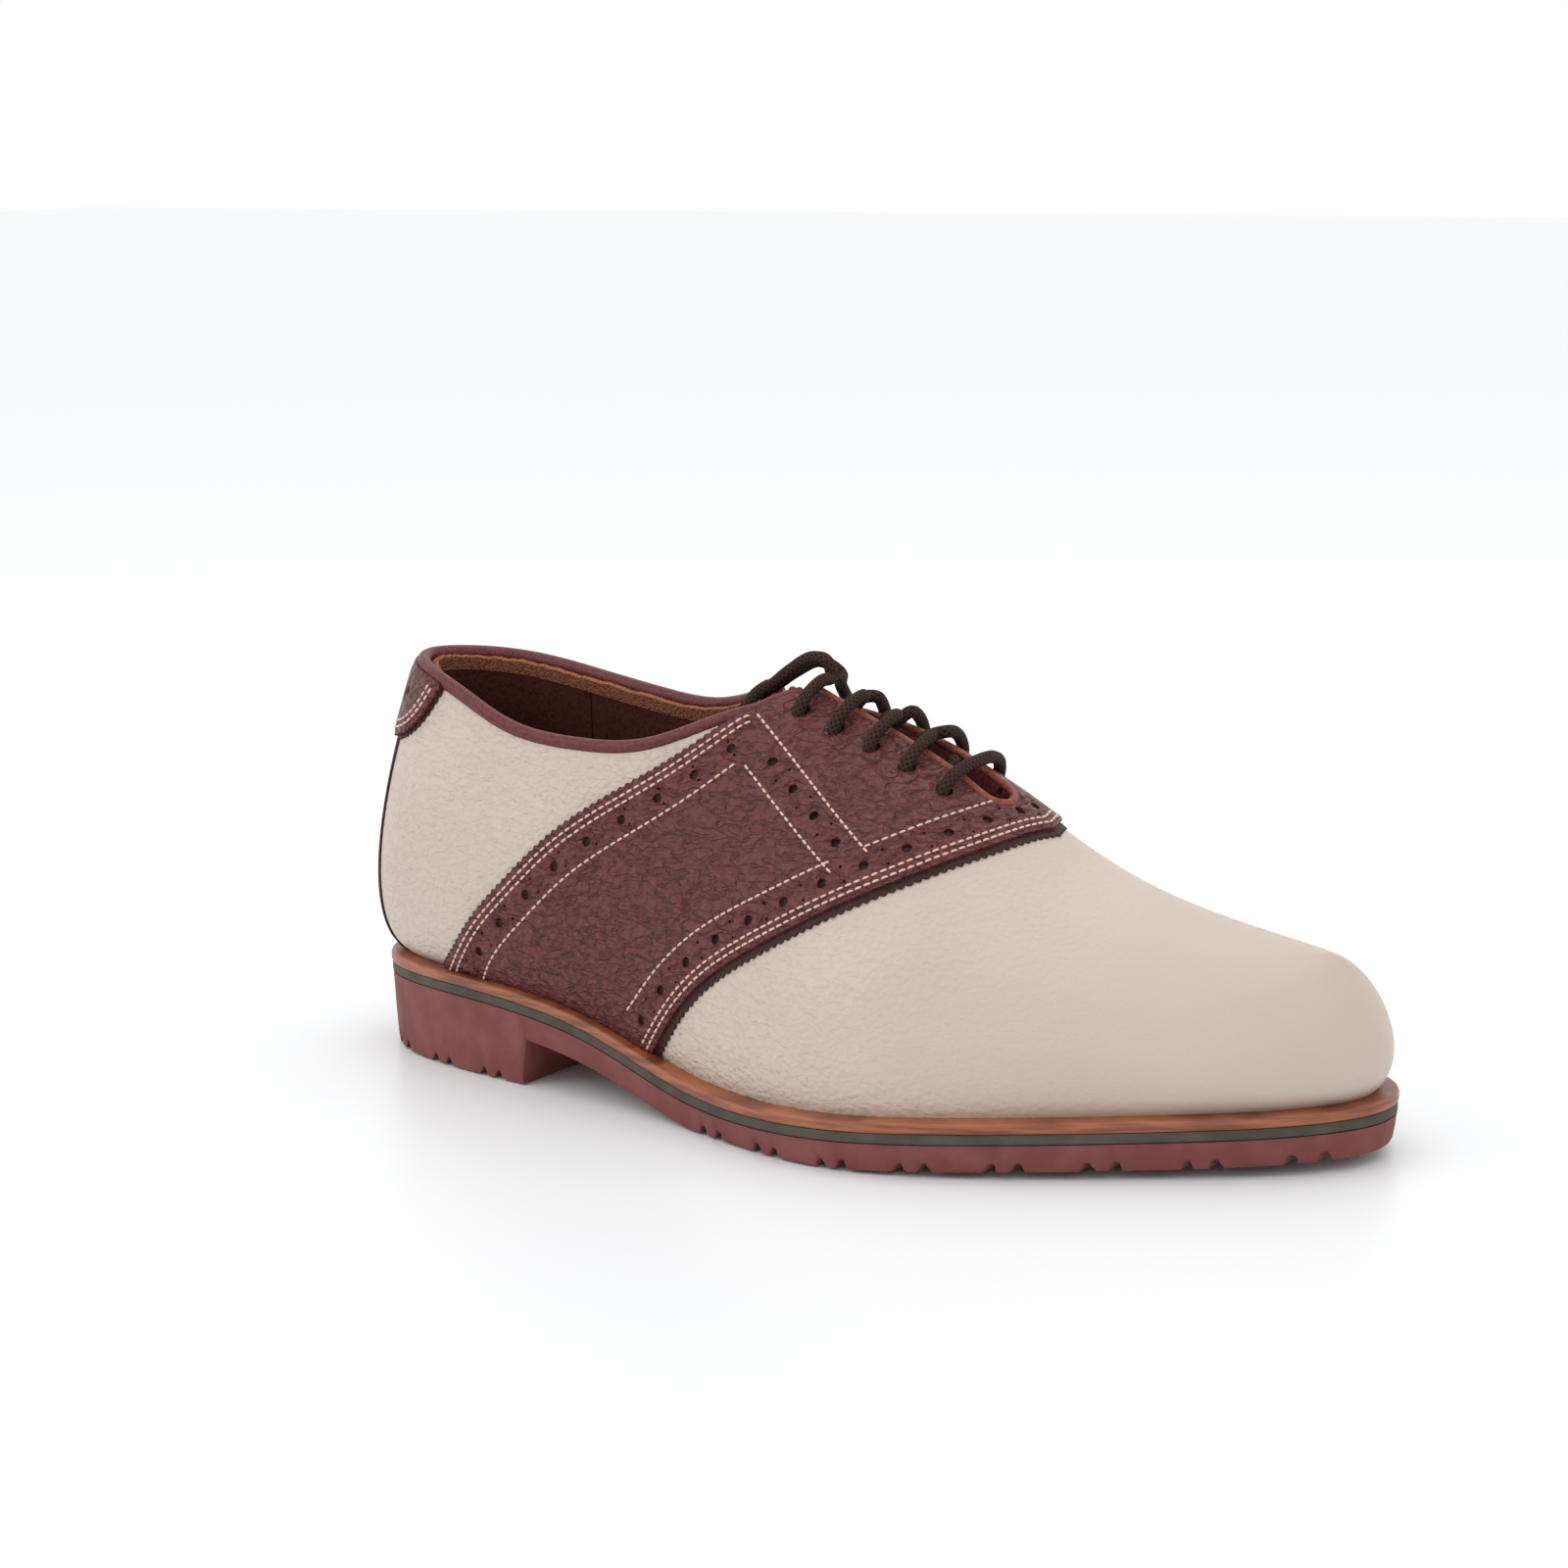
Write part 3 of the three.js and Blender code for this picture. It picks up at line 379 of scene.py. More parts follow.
# ---------------------------------------------------------------------------
# Vamp and quarters: cream full-grain leather with a tumbled pebble, drawn over a last. The last is a
# curved wall from the feather line over a bulge to the ridge of the instep; every piece of the upper
# is a patch of it. Over the toe the lasting pulls the pebble almost flat.
RIDGE_Z = [148, 137, 126.5, 115, 103, 89, 69.5, 58.5, 53]
RIDGE_Y = [-0.5, 0, 1, 2, 3.2, 4.5, 5.5, 6.7, 8]
WALL_OUT = [28, 20, 13.5, 9.5, 7.7, 7.8, 9, 11.5, 14.5]
WALL_RISE = [10, 14, 17, 20, 21, 20, 17, 13.5, 9]
CROWN = [0.34, 0.38, 0.43, 0.49, 0.55, 0.62, 0.67, 0.73, 0.79]
RIDGE_FROM, RIDGE_TO = X_BACK + 25.5, X_TIP - 8.0
LENGTH_PER_U = X_TIP - X_BACK
ridge_z, ridge_y = spline(RIDGE_Z), spline(RIDGE_Y)
wall_out, wall_rise, crown = spline(WALL_OUT), spline(WALL_RISE), spline(CROWN)
SADDLE_REAR = [0.105, 0.139, 0.168, 0.204, 0.243, 0.293, 0.341, 0.376, 0.401, 0.421, 0.434]
SADDLE_REAR_MEDIAL = [0.105, 0.139, 0.168, 0.204, 0.243, 0.293, 0.339, 0.37, 0.388, 0.412, 0.434]
SADDLE_FRONT = [0.384, 0.404, 0.428, 0.466, 0.523, 0.579, 0.625, 0.657, 0.679, 0.692, 0.7]
TOPLINE = [0.605, 0.588, 0.56, 0.572, 0.635, 0.803]
TOPLINE_MEDIAL = [0.605, 0.618, 0.622, 0.632, 0.683, 0.845]
TOPLINE_END = 0.4
rear_lines = {-1: spline(SADDLE_REAR), 1: spline(SADDLE_REAR_MEDIAL)}
front_line = spline(SADDLE_FRONT)
toplines = {-1: spline(TOPLINE), 1: spline(TOPLINE_MEDIAL)}


def wall(s):
    """The four control points of the last's wall at s, and the ridge's slope along X."""
    f = feather(s)
    u = station(f[..., 0])
    x = RIDGE_FROM + (RIDGE_TO - RIDGE_FROM) * u
    slope = ridge_z(u, slope=True) / (RIDGE_TO - RIDGE_FROM)
    crest = np.stack([x, ridge_y(u), ridge_z(u)], -1)
    reach = crest[..., :2] - f
    size = np.linalg.norm(reach, axis=-1, keepdims=True)
    toward = reach / size
    base = welt_top(u)
    flat = (crown(u) * size[..., 0])[..., None]
    foot = np.concatenate([f, base[..., None]], -1)
    over_welt = np.concatenate([f - toward * wall_out(u)[..., None], (base + wall_rise(u))[..., None]], -1)
    beside = np.concatenate([crest[..., :2] - toward * flat,
                             (crest[..., 2] - toward[..., 0] * flat[..., 0] * slope)[..., None]], -1)
    return (foot, over_welt, beside, crest), slope


def skin(s, t, off=0.0):
    """Cubic Bezier of the wall's points at t, moved off along the surface's outward normal."""
    s, t, off = np.broadcast_arrays(np.asarray(s, float), np.asarray(t, float), np.asarray(off, float))
    q = t[..., None]
    r = 1 - q

    def at(points):
        a, b, c, d = points
        return a * r ** 3 + 3 * b * q * r * r + 3 * c * q * q * r + d * q ** 3
    (a, b, c, d), slope = wall(s)
    here = at((a, b, c, d))
    step = 1e-4
    along = at(wall(s + step)[0]) - at(wall(s - step)[0])
    up = 3 * r * r * (b - a) + 6 * q * r * (c - b) + 3 * q * q * (d - c)
    normal = np.cross(along, up)
    size = np.linalg.norm(normal, axis=-1, keepdims=True)
    crest = np.stack([-slope, np.zeros_like(slope), np.ones_like(slope)], -1)
    toe_crest = (station(feather(s)[..., 0])[..., None] > 0.965) & (q > 0.9)
    flat = (size < 1e-7) | (q > 0.9999) | toe_crest
    normal = np.where(flat, unit(crest), normal / np.maximum(size, 1e-12))
    return here + normal * off[..., None]


def station_table(side):
    """Pairs of u and s along one side of the feather line."""
    start = S_BACK if side < 0 else S_BACK + 1
    s = np.linspace(start, S_TIP, 4000)
    u = np.maximum.accumulate(station(feather(s)[:, 0]))
    u[-1] = 1.0
    return u, s


station_tables = {side: station_table(side) for side in (-1, 1)}


def at_station(u, side):
    """Parameter s of station u on the lateral (-1) or medial (1) side."""
    u, side = np.broadcast_arrays(np.asarray(u, float), np.asarray(side))
    return np.where(side < 0, np.interp(u, *station_tables[-1]), np.interp(u, *station_tables[1]))


def over(u, tau, off=0.0):
    """Point at station u and tau, from -1 at the lateral feather over the ridge to 1."""
    tau = np.asarray(tau, float)
    return skin(at_station(u, np.where(tau < 0, -1, 1)), 1 - np.abs(tau), off)


def ridge_speed(u, side):
    """How far the surface runs across the ridge for one unit of t there."""
    (_, _, c, d), _ = wall(at_station(u, side))
    return 3 * np.linalg.norm(d - c, axis=-1)


def across(u, d, off=0.0):
    """Point at station u, d millimetres across from the ridge, lateral negative."""
    u, d = np.broadcast_arrays(np.asarray(u, float), np.asarray(d, float))
    side = np.where(d < 0, -1, 1)
    return over(u, d / ridge_speed(u, side), off)


def rear_at(t, side):
    t = np.clip(t, 0, 1)
    return np.where(np.asarray(side) < 0, rear_lines[-1](t), rear_lines[1](t))


def front_at(t):
    return front_line(np.clip(t, 0, 1))


def top_at(u, side):
    x = np.minimum(u, TOPLINE_END) / TOPLINE_END
    return np.where(np.asarray(side) < 0, toplines[-1](x), toplines[1](x))


def sheet_piece(name, outer, inner, material, slot, stands_for=(), folded=False, **more):
    """A piece between two grids of points of the same size, walled round its border. The rim's outer
    corner is rolled over by a third of the thickness. A folded sheet's last row lies on itself, so it
    has no wall there."""
    rows, columns = outer.shape[:2]
    outer = outer.copy()
    rims = [np.s_[0, :], np.s_[:, 0], np.s_[:, -1]]
    for rim in rims if folded else [*rims, np.s_[-1, :]]:
        outer[rim] = outer[rim] * 0.7 + inner[rim] * 0.3
    count = rows * columns
    faces = [quads(rows, columns), quads(rows, columns, start=count)[:, ::-1]]
    index = np.arange(count).reshape(rows, columns)
    edge = np.concatenate([index[0, :-1], index[:-1, -1], index[-1, :0:-1], index[:0:-1, 0]])
    following = np.roll(edge, -1)
    walls = np.stack([edge, edge + count, following + count, following], -1)
    if folded:
        last = (rows - 1) * columns
        walls = walls[~((edge >= last) & (following >= last))]
    points = np.concatenate([outer.reshape(-1, 3), inner.reshape(-1, 3)])
    return new_piece(name, points, np.concatenate([*faces, walls]), material, slot, stands_for, **more)


def pebbled_leather(name, light, dark, pebble_mm, depth_mm, roughness, stretch=(1, 1, 1),
                    smooth_from=None, wrinkle_mm=0.0):
    """Full-grain leather: rounded pebbles with creases between them, longer lying wrinkles and fine
    pores. Where smooth_from says, the grain fades towards the toe along X."""
    material, tree = new_material(name, roughness, IOR=1.36)
    where = object_space(tree)
    warp = add_node(tree, "TexNoise", {"Vector": where, "Scale": 1000 / 5.0, "Detail": 2.0})
    bent = add_node(tree, "VectorMath", {0: warp.outputs["Color"], 1: (0.0022, 0.0022, 0.0022)},
                    operation="MULTIPLY")
    moved = add_node(tree, "VectorMath", {0: where, 1: bent.outputs[0]}, operation="ADD")
    scaled = add_node(tree, "Mapping", {"Vector": moved.outputs[0], "Scale": stretch})
    cells = add_node(tree, "TexVoronoi", {"Vector": scaled.outputs["Vector"], "Scale": 1000 / pebble_mm,
                                          "Smoothness": 0.6}, feature="SMOOTH_F1")
    pebbles = remap(tree, cells.outputs["Distance"], 0.15, 0.75, 1.0, 0.0)
    if smooth_from:
        x = add_node(tree, "SeparateXYZ", {"Vector": where}).outputs["X"]
        fade = remap(tree, x, *smooth_from, 1.0, 0.12)
        pebbles = calc(tree, "MULTIPLY", pebbles, fade)
        colour = blotched(tree, light, dark, size_mm=60.0, detail=2.0, low=0.3, high=1.3)
    else:
        # Without smooth_from the colour follows the pebbles' height: lighter on their tops and darker down in
        # the creases, which is painted shade in the creases.
        colour = mixed_colour(tree, remap(tree, pebbles, 0.0, 0.6), dark, light)
    normal = bump_from(tree, pebbles, depth_mm)
    if wrinkle_mm:
        lying = add_node(tree, "Mapping", {"Vector": where, "Scale": (1000 / 7, 1000 / 7, 1000 / 2.6)})
        folds = add_node(tree, "TexNoise", {"Vector": lying.outputs["Vector"], "Scale": 1.0, "Detail": 3.0,
                                            "Distortion": 0.6}).outputs["Fac"]
        lines = remap(tree, calc(tree, "ABSOLUTE", calc(tree, "SUBTRACT", folds, 0.5)), 0.0, 0.05)
        if smooth_from:
            lines = calc(tree, "MULTIPLY", lines, fade)
        normal = bump_from(tree, lines, wrinkle_mm, normal)
    dress(tree, colour, bump_from(tree, noise(tree, where, 0.6, 2.0), 0.04, normal))
    return material


# Cream calf: semi-gloss, its pebble about 1.3 mm, pulled smooth over the toe.
CREAM = pebbled_leather("cream tumbled leather", "#CCBDB0", "#BBA99B", 1.8, 0.34, 0.42,
                        stretch=(1, 1, 1.25), smooth_from=(0.0, 0.11), wrinkle_mm=0.1)
UPPER_THICK = 1.4
SIDES = ((-1, "lateral"), (1, "medial"))
LAP = 9.0 / LENGTH_PER_U
EDGE_TUCK = -0.012  # the upper goes this far down behind the welt's top
VAMP_COLUMNS, VAMP_ROWS = 150, 220


def vamp():
    """Everything in front of the saddle and a lap under it, its columns crowding towards the toe."""
    v = np.linspace(0, 1, VAMP_COLUMNS)[:, None]
    tau = np.linspace(-1 + EDGE_TUCK, 1 - EDGE_TUCK, VAMP_ROWS + 1)[None, :]
    start = front_at(1 - np.abs(tau)) - LAP
    u = 1 - (1 - start) * (1 - v) ** 1.9
    tau = np.broadcast_to(tau, u.shape)
    sheet_piece("vamp_leather", over(u, tau, 0.0), over(u, tau, -UPPER_THICK), CREAM, "cream_leather",
                ["vamp"], folded=True, weld=True)


vamp()


def quarter(side, name):
    """From the back seam to a lap under the saddle, and from the welt up into the topline binding."""
    v = np.linspace(0, 1, 110)[:, None]
    w = np.linspace(0, 1, 70)[None, :]
    seam = S_BACK + 0.0002 if side < 0 else S_BACK + 0.9998
    t = w * 0.6 + v * 0
    for _ in range(12):
        fore = at_station(rear_at(t, side) + LAP, side)
        s = seam + (fore - seam) * v
        u = station(feather(s)[..., 0])
        t = EDGE_TUCK + (top_at(u, side) - EDGE_TUCK) * w
    sheet_piece(f"quarter_leather_{name}", skin(s, t, 0.0), skin(s, t, -UPPER_THICK), CREAM,
                "cream_leather", [f"quarter_{name}"])


for side, name in SIDES:
    quarter(side, name)

# ---------------------------------------------------------------------------
# Linings and insides: dark brown lining leather all round the foot, a tan raw edge of its suede side
# under the topline, and the sock over the insole.
LINING_IN, LINING_OUT, RAW_EDGE = -4.4, -3.4, (-3.0, -4.9)
THROAT_TOP, THROAT_END, THROAT_HALF = 0.434, 0.66, 5.5
THROAT_SHIFT = (2.5, -4.5)
LINING_SEAM = 0.15  # station where heel and quarter linings meet
LINING_DROP = 0.012  # the linings end this far, in t, below the topline
PLANE_Y = 90.0  # plane units for tau from 0 to 1


def throat_centre(u):
    """Distance of the throat's middle from the ridge at station u."""
    k = np.clip((u - THROAT_TOP) / (THROAT_END - THROAT_TOP), 0, 1)
    return THROAT_SHIFT[0] + (THROAT_SHIFT[1] - THROAT_SHIFT[0]) * k


def to_plane(u, tau):
    """Flat pattern coordinates of a point of the upper: millimetres along, and tau."""
    u, tau = np.broadcast_arrays(np.asarray(u, float), np.asarray(tau, float))
    return np.stack([u * LENGTH_PER_U, tau * PLANE_Y], -1)


def on_upper(q, off):
    """Pattern coordinates laid on the last."""
    return over(q[..., 0] / LENGTH_PER_U, q[..., 1] / PLANE_Y, off)


def across_plane(u, d):
    """Pattern coordinates of a point d millimetres from the ridge at station u."""
    u, d = np.broadcast_arrays(np.asarray(u, float), np.asarray(d, float))
    return to_plane(u, d / ridge_speed(u, np.where(d < 0, -1, 1)))


def inside(points, polygon):
    """Even-odd test of points against a closed polygon."""
    x, y = points[:, 0][:, None], points[:, 1][:, None]
    a, b = polygon, np.roll(polygon, -1, axis=0)
    spans = (a[:, 1] > y) != (b[:, 1] > y)
    rise = np.where(b[:, 1] == a[:, 1], 1, b[:, 1] - a[:, 1])
    cut = a[:, 0] + (y - a[:, 1]) * (b[:, 0] - a[:, 0]) / rise
    return (spans & (x < cut)).sum(axis=1) % 2 == 1


def cut_piece(name, place, border, holes, offs, spacing, material, slot, stands_for=()):
    """A piece cut from flat leather to a border with holes: its pattern is triangulated between those
    lines, laid on the last by place(q, off) at both faces, and walled along every cut edge."""
    loops = [border, *holes]
    edge_points = np.concatenate(loops)
    low, high = border.min(axis=0), border.max(axis=0)
    gx = np.arange(low[0], high[0], spacing)
    gy = np.arange(low[1], high[1], spacing * 0.866)
    x, y = np.meshgrid(gx, gy)
    x = x + (np.arange(len(gy)) % 2)[:, None] * spacing / 2
    fill = np.column_stack([x.ravel(), y.ravel()])
    fill = fill[inside(fill, border)]
    near = np.concatenate([((chunk[:, None] - edge_points) ** 2).sum(-1).min(1)
                           for chunk in np.array_split(fill, max(len(fill) // 500, 1))])
    fill = fill[near > (0.45 * spacing) ** 2]
    for hole in holes:
        fill = fill[~inside(fill, hole)]
    points = np.concatenate([edge_points, fill])
    edges, start = [], 0
    for loop in loops:
        k = np.arange(len(loop))
        edges += np.column_stack([start + k, start + (k + 1) % len(loop)]).tolist()
        start += len(loop)
    verts, _, tris, *_ = delaunay_2d_cdt([Vector(p) for p in points.tolist()], edges, [], 0, 1e-5)
    flat = np.array([v[:] for v in verts])
    tris = np.array(tris)
    centre = flat[tris].mean(axis=1)
    keep = inside(centre, border)
    for hole in holes:
        keep &= ~inside(centre, hole)
    tris = tris[keep]
    used, tris = np.unique(tris, return_inverse=True)
    tris = tris.reshape(-1, 3)
    flat = flat[used]
    sides = np.concatenate([tris[:, [0, 1]], tris[:, [1, 2]], tris[:, [2, 0]]])
    _, first, counts = np.unique(np.sort(sides, axis=1), axis=0, return_index=True, return_counts=True)
    rim = sides[first[counts == 1]]
    outer_off = np.full(len(flat), offs[1])
    outer_off[np.unique(rim)] -= 0.3 * (offs[1] - offs[0])
    n = len(flat)
    both = np.concatenate([place(flat, outer_off), place(flat, np.full(n, offs[0]))])
    walls = np.column_stack([rim[:, 0], rim[:, 0] + n, rim[:, 1] + n, rim[:, 1]])
    faces = tris.tolist() + (tris[:, ::-1] + n).tolist() + walls.tolist()
    return new_piece(name, both, faces, material, slot, stands_for, angle=50)


def throat_side(side, first_u, last_u, count=24, half=THROAT_HALF):
    """One edge of the throat in the pattern, from its top to its rounded end."""
    u = np.linspace(first_u, last_u - half / LENGTH_PER_U, count)
    straight = across_plane(u, throat_centre(u) + side * half)
    a = np.linspace(0, math.pi / 2, 8)[1:]
    u_end = last_u - half / LENGTH_PER_U * (1 - np.sin(a))
    rounded = across_plane(u_end, throat_centre(u_end) + side * half * np.cos(a))
    return np.concatenate([straight, rounded])


def throat_corner(side):
    """Station and t where the topline turns into the throat's edge."""
    t = 1 - abs(throat_centre(THROAT_TOP) + side * THROAT_HALF) / float(ridge_speed(THROAT_TOP, side))
    return float(rear_at(t, side)), t


def throat_start(side):
    """Station where the throat's edge begins, just in front of the binding."""
    return max(throat_corner(side)[0] + 0.008, THROAT_TOP - (0.02 if side > 0 else 0))


def joined(lines):
    """The lateral line down the throat and the medial one back up."""
    return np.concatenate([lines[0], lines[1][::-1][1:]])


DARK_LINING = pebbled_leather("dark brown lining leather", "#5A2E27", "#46231E", 1.1, 0.05, 0.6)
RAW_SUEDE = pebbled_leather("raw tan suede edge", "#9C6248", "#7A4632", 0.7, 0.3, 0.9)
DARK_SOCK = pebbled_leather("brown sock leather", "#5C3A2C", "#4A2D23", 1.0, 0.04, 0.55)


def heel_lining():
    """One piece round the heel, from seam to seam."""
    v = np.linspace(0, 1, 120)[:, None]
    w = np.linspace(0, 1, 60)[None, :]
    back, fore = at_station(LINING_SEAM, 1) - 1, at_station(LINING_SEAM, -1)
    s = back + (fore - back) * v + 0 * w
    side = np.where((s % 1) < S_TIP, -1, 1)
    t = (top_at(station(feather(s)[..., 0]), side) - LINING_DROP) * w
    sheet_piece("heel_lining_leather", skin(s, t, LINING_OUT), skin(s, t, LINING_IN), DARK_LINING,
                "lining_leather", ["heel_lining"])


heel_lining()
for side, name in SIDES:
    corner_u, _ = throat_corner(side)
    u = np.linspace(LINING_SEAM + 0.0015, TOPLINE_END, 40)
    along_top = to_plane(u, side * (1 - top_at(u, side) + LINING_DROP))
    edge = throat_side(side, max(corner_u + 0.012, 0.405), THROAT_END, half=THROAT_HALF + 0.6)
    down = to_plane(THROAT_END, side * np.linspace(0.01, 1, 40)[4:])
    foot = to_plane(np.linspace(THROAT_END, u[0], 60)[1:], side)
    rise = to_plane(u[0], side * np.linspace(1, 0.47, 16)[1:-1])
    border = np.concatenate([along_top, edge[:-4], down, foot, rise])
    cut_piece(f"quarter_lining_leather_{name}", on_upper, border, [], (LINING_IN, LINING_OUT), 3.5,
              DARK_LINING, "lining_leather", [f"quarter_lining_{name}"])


def vamp_lining():
    """The lining of the forepart."""
    v = np.linspace(0, 1, 50)[:, None]
    tau = np.linspace(-1, 1, 121)[None, :]
    u = 0.985 - (0.985 - THROAT_END - 0.004) * (1 - v) ** 1.9 + 0 * tau
    tau = np.broadcast_to(tau, u.shape)
    sheet_piece("vamp_lining_leather", over(u, tau, LINING_OUT), over(u, tau, LINING_IN), DARK_LINING,
                "lining_leather", ["vamp_lining"])


vamp_lining()


def collar_points(drop_mm, off):
    """The topline from the lateral throat corner round the heel to the medial one, dropped and moved off."""
    rows = []
    for side in (-1, 1):
        corner_u, corner_t = throat_corner(side)
        end_t = corner_t - 0.03
        u = TOPLINE_END * np.linspace(0, 1, 120) ** 2
        t = top_at(u, side)
        if end_t > t[-1]:
            more = np.linspace(t[-1], end_t, 14)[1:]
            u, t = np.concatenate([u, rear_at(more, side)]), np.concatenate([t, more])
        s = at_station(u, side)
        rate = np.linalg.norm(skin(s, t + 0.01) - skin(s, t - 0.01), axis=-1) / 0.02
        rows.append(skin(s, t - drop_mm / rate, off))
    return np.concatenate([rows[0][::-1], rows[1][1:]])


def collar_suede():
    """The lining's raw top edge, a ribbon a few millimetres high with a ragged rim."""
    rng = np.random.default_rng(5)
    ragged = np.convolve(rng.normal(0, 0.5, 400), np.ones(3) / 3, "same")[: len(collar_points(0, 0))]
    sheets = []
    for off in RAW_EDGE:
        sheet = np.array([collar_points(drop, off) for drop in -0.6 + 4.2 * np.linspace(0, 1, 7)])
        sheet[0, :, 2] += ragged * 0.5
        sheets.append(sheet)
    sheet_piece("lining_raw_edge", *sheets, RAW_SUEDE, "lining_leather")


collar_suede()
bpy.data.objects["sock_liner"].data.materials[0] = DARK_SOCK
# The bottom filling and the stiffeners stay as the solid model has them, in their own finishes.
HIDDEN = {
    "insole_board": plain("brown leatherboard", "#4A3025", 0.8),
    "cork_filler": plain("ground cork", "#8A6239", 0.9),
    "shank": plain("tempered steel strip", "#8C8C8A", 0.35, Metallic=1.0),
    "heel_counter": plain("brown leatherboard stiffener", "#4A3025", 0.8),
    "toe_puff": plain("impregnated felt stiffener", "#4A3A30", 0.9),
}
antique_brass = plain("antique brass", "#7A6238", 0.45, Metallic=1.0)
for row in range(1, 6):
    for _, name in SIDES:
        HIDDEN[f"eyelet_{name}_{row}"] = antique_brass
for part, finish in HIDDEN.items():
    bpy.data.objects[part].data.materials[0] = finish

# ---------------------------------------------------------------------------
# Back strip and back patch: a dark brown pinked strip over the back seam, under an oxblood patch at the
# topline with a pinked edge, two rows of stitching and brogue holes.
GIMP, SADDLE = (0.05, 0.75), (0.75, 2.1)  # offsets of a layer's two faces from the last
TOOTH = 2.4  # pitch of the pinking
TRACING = 1.5  # offset from the last at which lengths along a pattern line are measured
HEEL_MM = 550.0  # pattern units round the back for one turn of the sole's outline


def on_heel(q, off):
    """Pattern coordinates of the back: millimetres round from the seam, and t in plane units."""
    return skin(S_BACK + q[..., 0] / HEEL_MM, q[..., 1] / PLANE_Y, off)


def resample(q, place, pitch):
    """Points along a pattern line at equal real distances near pitch, ends included."""
    fine = np.linspace(0, len(q) - 1, max(len(q) * 6, 200))
    dense = np.column_stack([np.interp(fine, np.arange(len(q)), q[:, k]) for k in (0, 1)])
    length = run_length(place(dense, TRACING))
    count = max(int(round(length[-1] / pitch)), 2)
    want = np.linspace(0, length[-1], count + 1)
    return np.column_stack([np.interp(want, length, dense[:, k]) for k in (0, 1)])


def axes_at(q, place):
    """Where pattern points lie on the last, and how far they move for one unit along each pattern axis."""
    here, h = place(q, TRACING), 0.05
    return here, np.stack([(place(q + step, TRACING) - here) / h for step in ([h, 0], [0, h])], -1)


def beside(q, mm, place):
    """A pattern line moved sideways over the last by real millimetres, left of its direction positive."""
    mm = np.broadcast_to(np.asarray(mm, float), q.shape[:1])
    here, axes = axes_at(q, place)
    ahead = unit(np.gradient(here, axis=0))
    aside = unit(np.cross(place(q, TRACING + 1) - here, ahead))
    square = np.swapaxes(axes, 1, 2) @ axes
    move = np.linalg.solve(square, (np.swapaxes(axes, 1, 2) @ (aside * mm[:, None])[..., None]))[..., 0]
    return q + move


def pinked(q, place, height):
    """A zigzag of triangular teeth along a pattern line, out to its left."""
    fine = resample(q, place, TOOTH / 2)
    return beside(fine, height * (np.arange(len(fine)) % 2), place)


def round_hole(q, radius, place, sides=12):
    """The outline of a punched hole of real radius about a pattern point."""
    q = np.asarray(q, float)[None, :]
    axes = axes_at(q, place)[1][0]
    e1, dy = unit(axes[:, 0]), axes[:, 1]
    e2 = unit(dy - e1 * (dy @ e1))
    a = angles(sides)
    want = radius * (np.cos(a)[:, None] * e1 + np.sin(a)[:, None] * e2)
    return q + want @ np.linalg.pinv(axes).T


THREAD_PITCH, THREAD_LENGTH, THREAD_R = 2.4, 2.0, 0.32


def stitch_row(q, place, off):
    """Centres, directions and up vectors of the stitches along a pattern line."""
    fine = resample(q, place, THREAD_PITCH)
    centre = (fine[:-1] + fine[1:]) / 2
    here = place(centre, off)
    return here, unit(place(fine[1:], off) - place(fine[:-1], off)), unit(place(centre, off + 1) - here)


def thread_piece(name, rows):
    """All the stitches of a group: each a short arched thread whose ends dive into the leather. Ring k of
    a stitch lies at share x of its half length, lower and thinner towards the ends."""
    here, ahead, up = (np.concatenate([row[k] for row in rows]) for k in range(3))
    aside = np.cross(up, ahead)
    x = np.array([-1.0, -0.82, -0.35, 0.35, 0.82, 1.0])
    lift = -0.34 * x ** 4
    thick = THREAD_R * np.array([0.15, 0.8, 1, 1, 0.8, 0.15])
    a = angles(6)
    rings = (here[:, None, None] + ahead[:, None, None] * (x * THREAD_LENGTH / 2)[None, :, None, None]
             + up[:, None, None] * (lift[:, None] + thick[:, None] * np.sin(a))[None, :, :, None]
             + aside[:, None, None] * (thick[:, None] * np.cos(a))[None, :, :, None])
    one = quads(6, 6, wrap_columns=True)
    count = len(here)
    faces = (one[None] + (np.arange(count) * 36)[:, None, None]).reshape(-1, 4).tolist()
    for base in (0, 30):
        faces += (np.arange(count)[:, None] * 36 + base + np.arange(6)[None, :]).tolist()
    new_piece(name, rings.reshape(-1, 3), faces, CREAM_THREAD, "oxblood_leather", angle=60)


OXBLOOD = pebbled_leather("oxblood tumbled leather", "#66302E", "#502423", 1.9, 0.5, 0.36,
                          stretch=(1, 1, 1.5), wrinkle_mm=0.5)
DARK_EDGING = pebbled_leather("dark brown edging leather", "#3A211B", "#2A1612", 1.0, 0.05, 0.6)
# The underlay under the saddle is made near black so that the brogue holes and the throat's cut edge look
# shaded: painted shade in the holes.
HOLE_SHADE_UNDERLAY = pebbled_leather("near-black underlay leather, painted hole shade", "#1A110E", "#120B09", 1.0, 0.03, 0.7)
CREAM_THREAD = plain("cream polyester thread", "#E0BFAE", 0.55, Sheen_Weight=0.2)



def edging(name, place, border, spacing, stands_for=()):
    """A pinked piece of dark brown leather between the upper and the saddle or patch."""
    cut_piece(name, place, border, [], GIMP, spacing, DARK_EDGING, "edging_leather", stands_for)


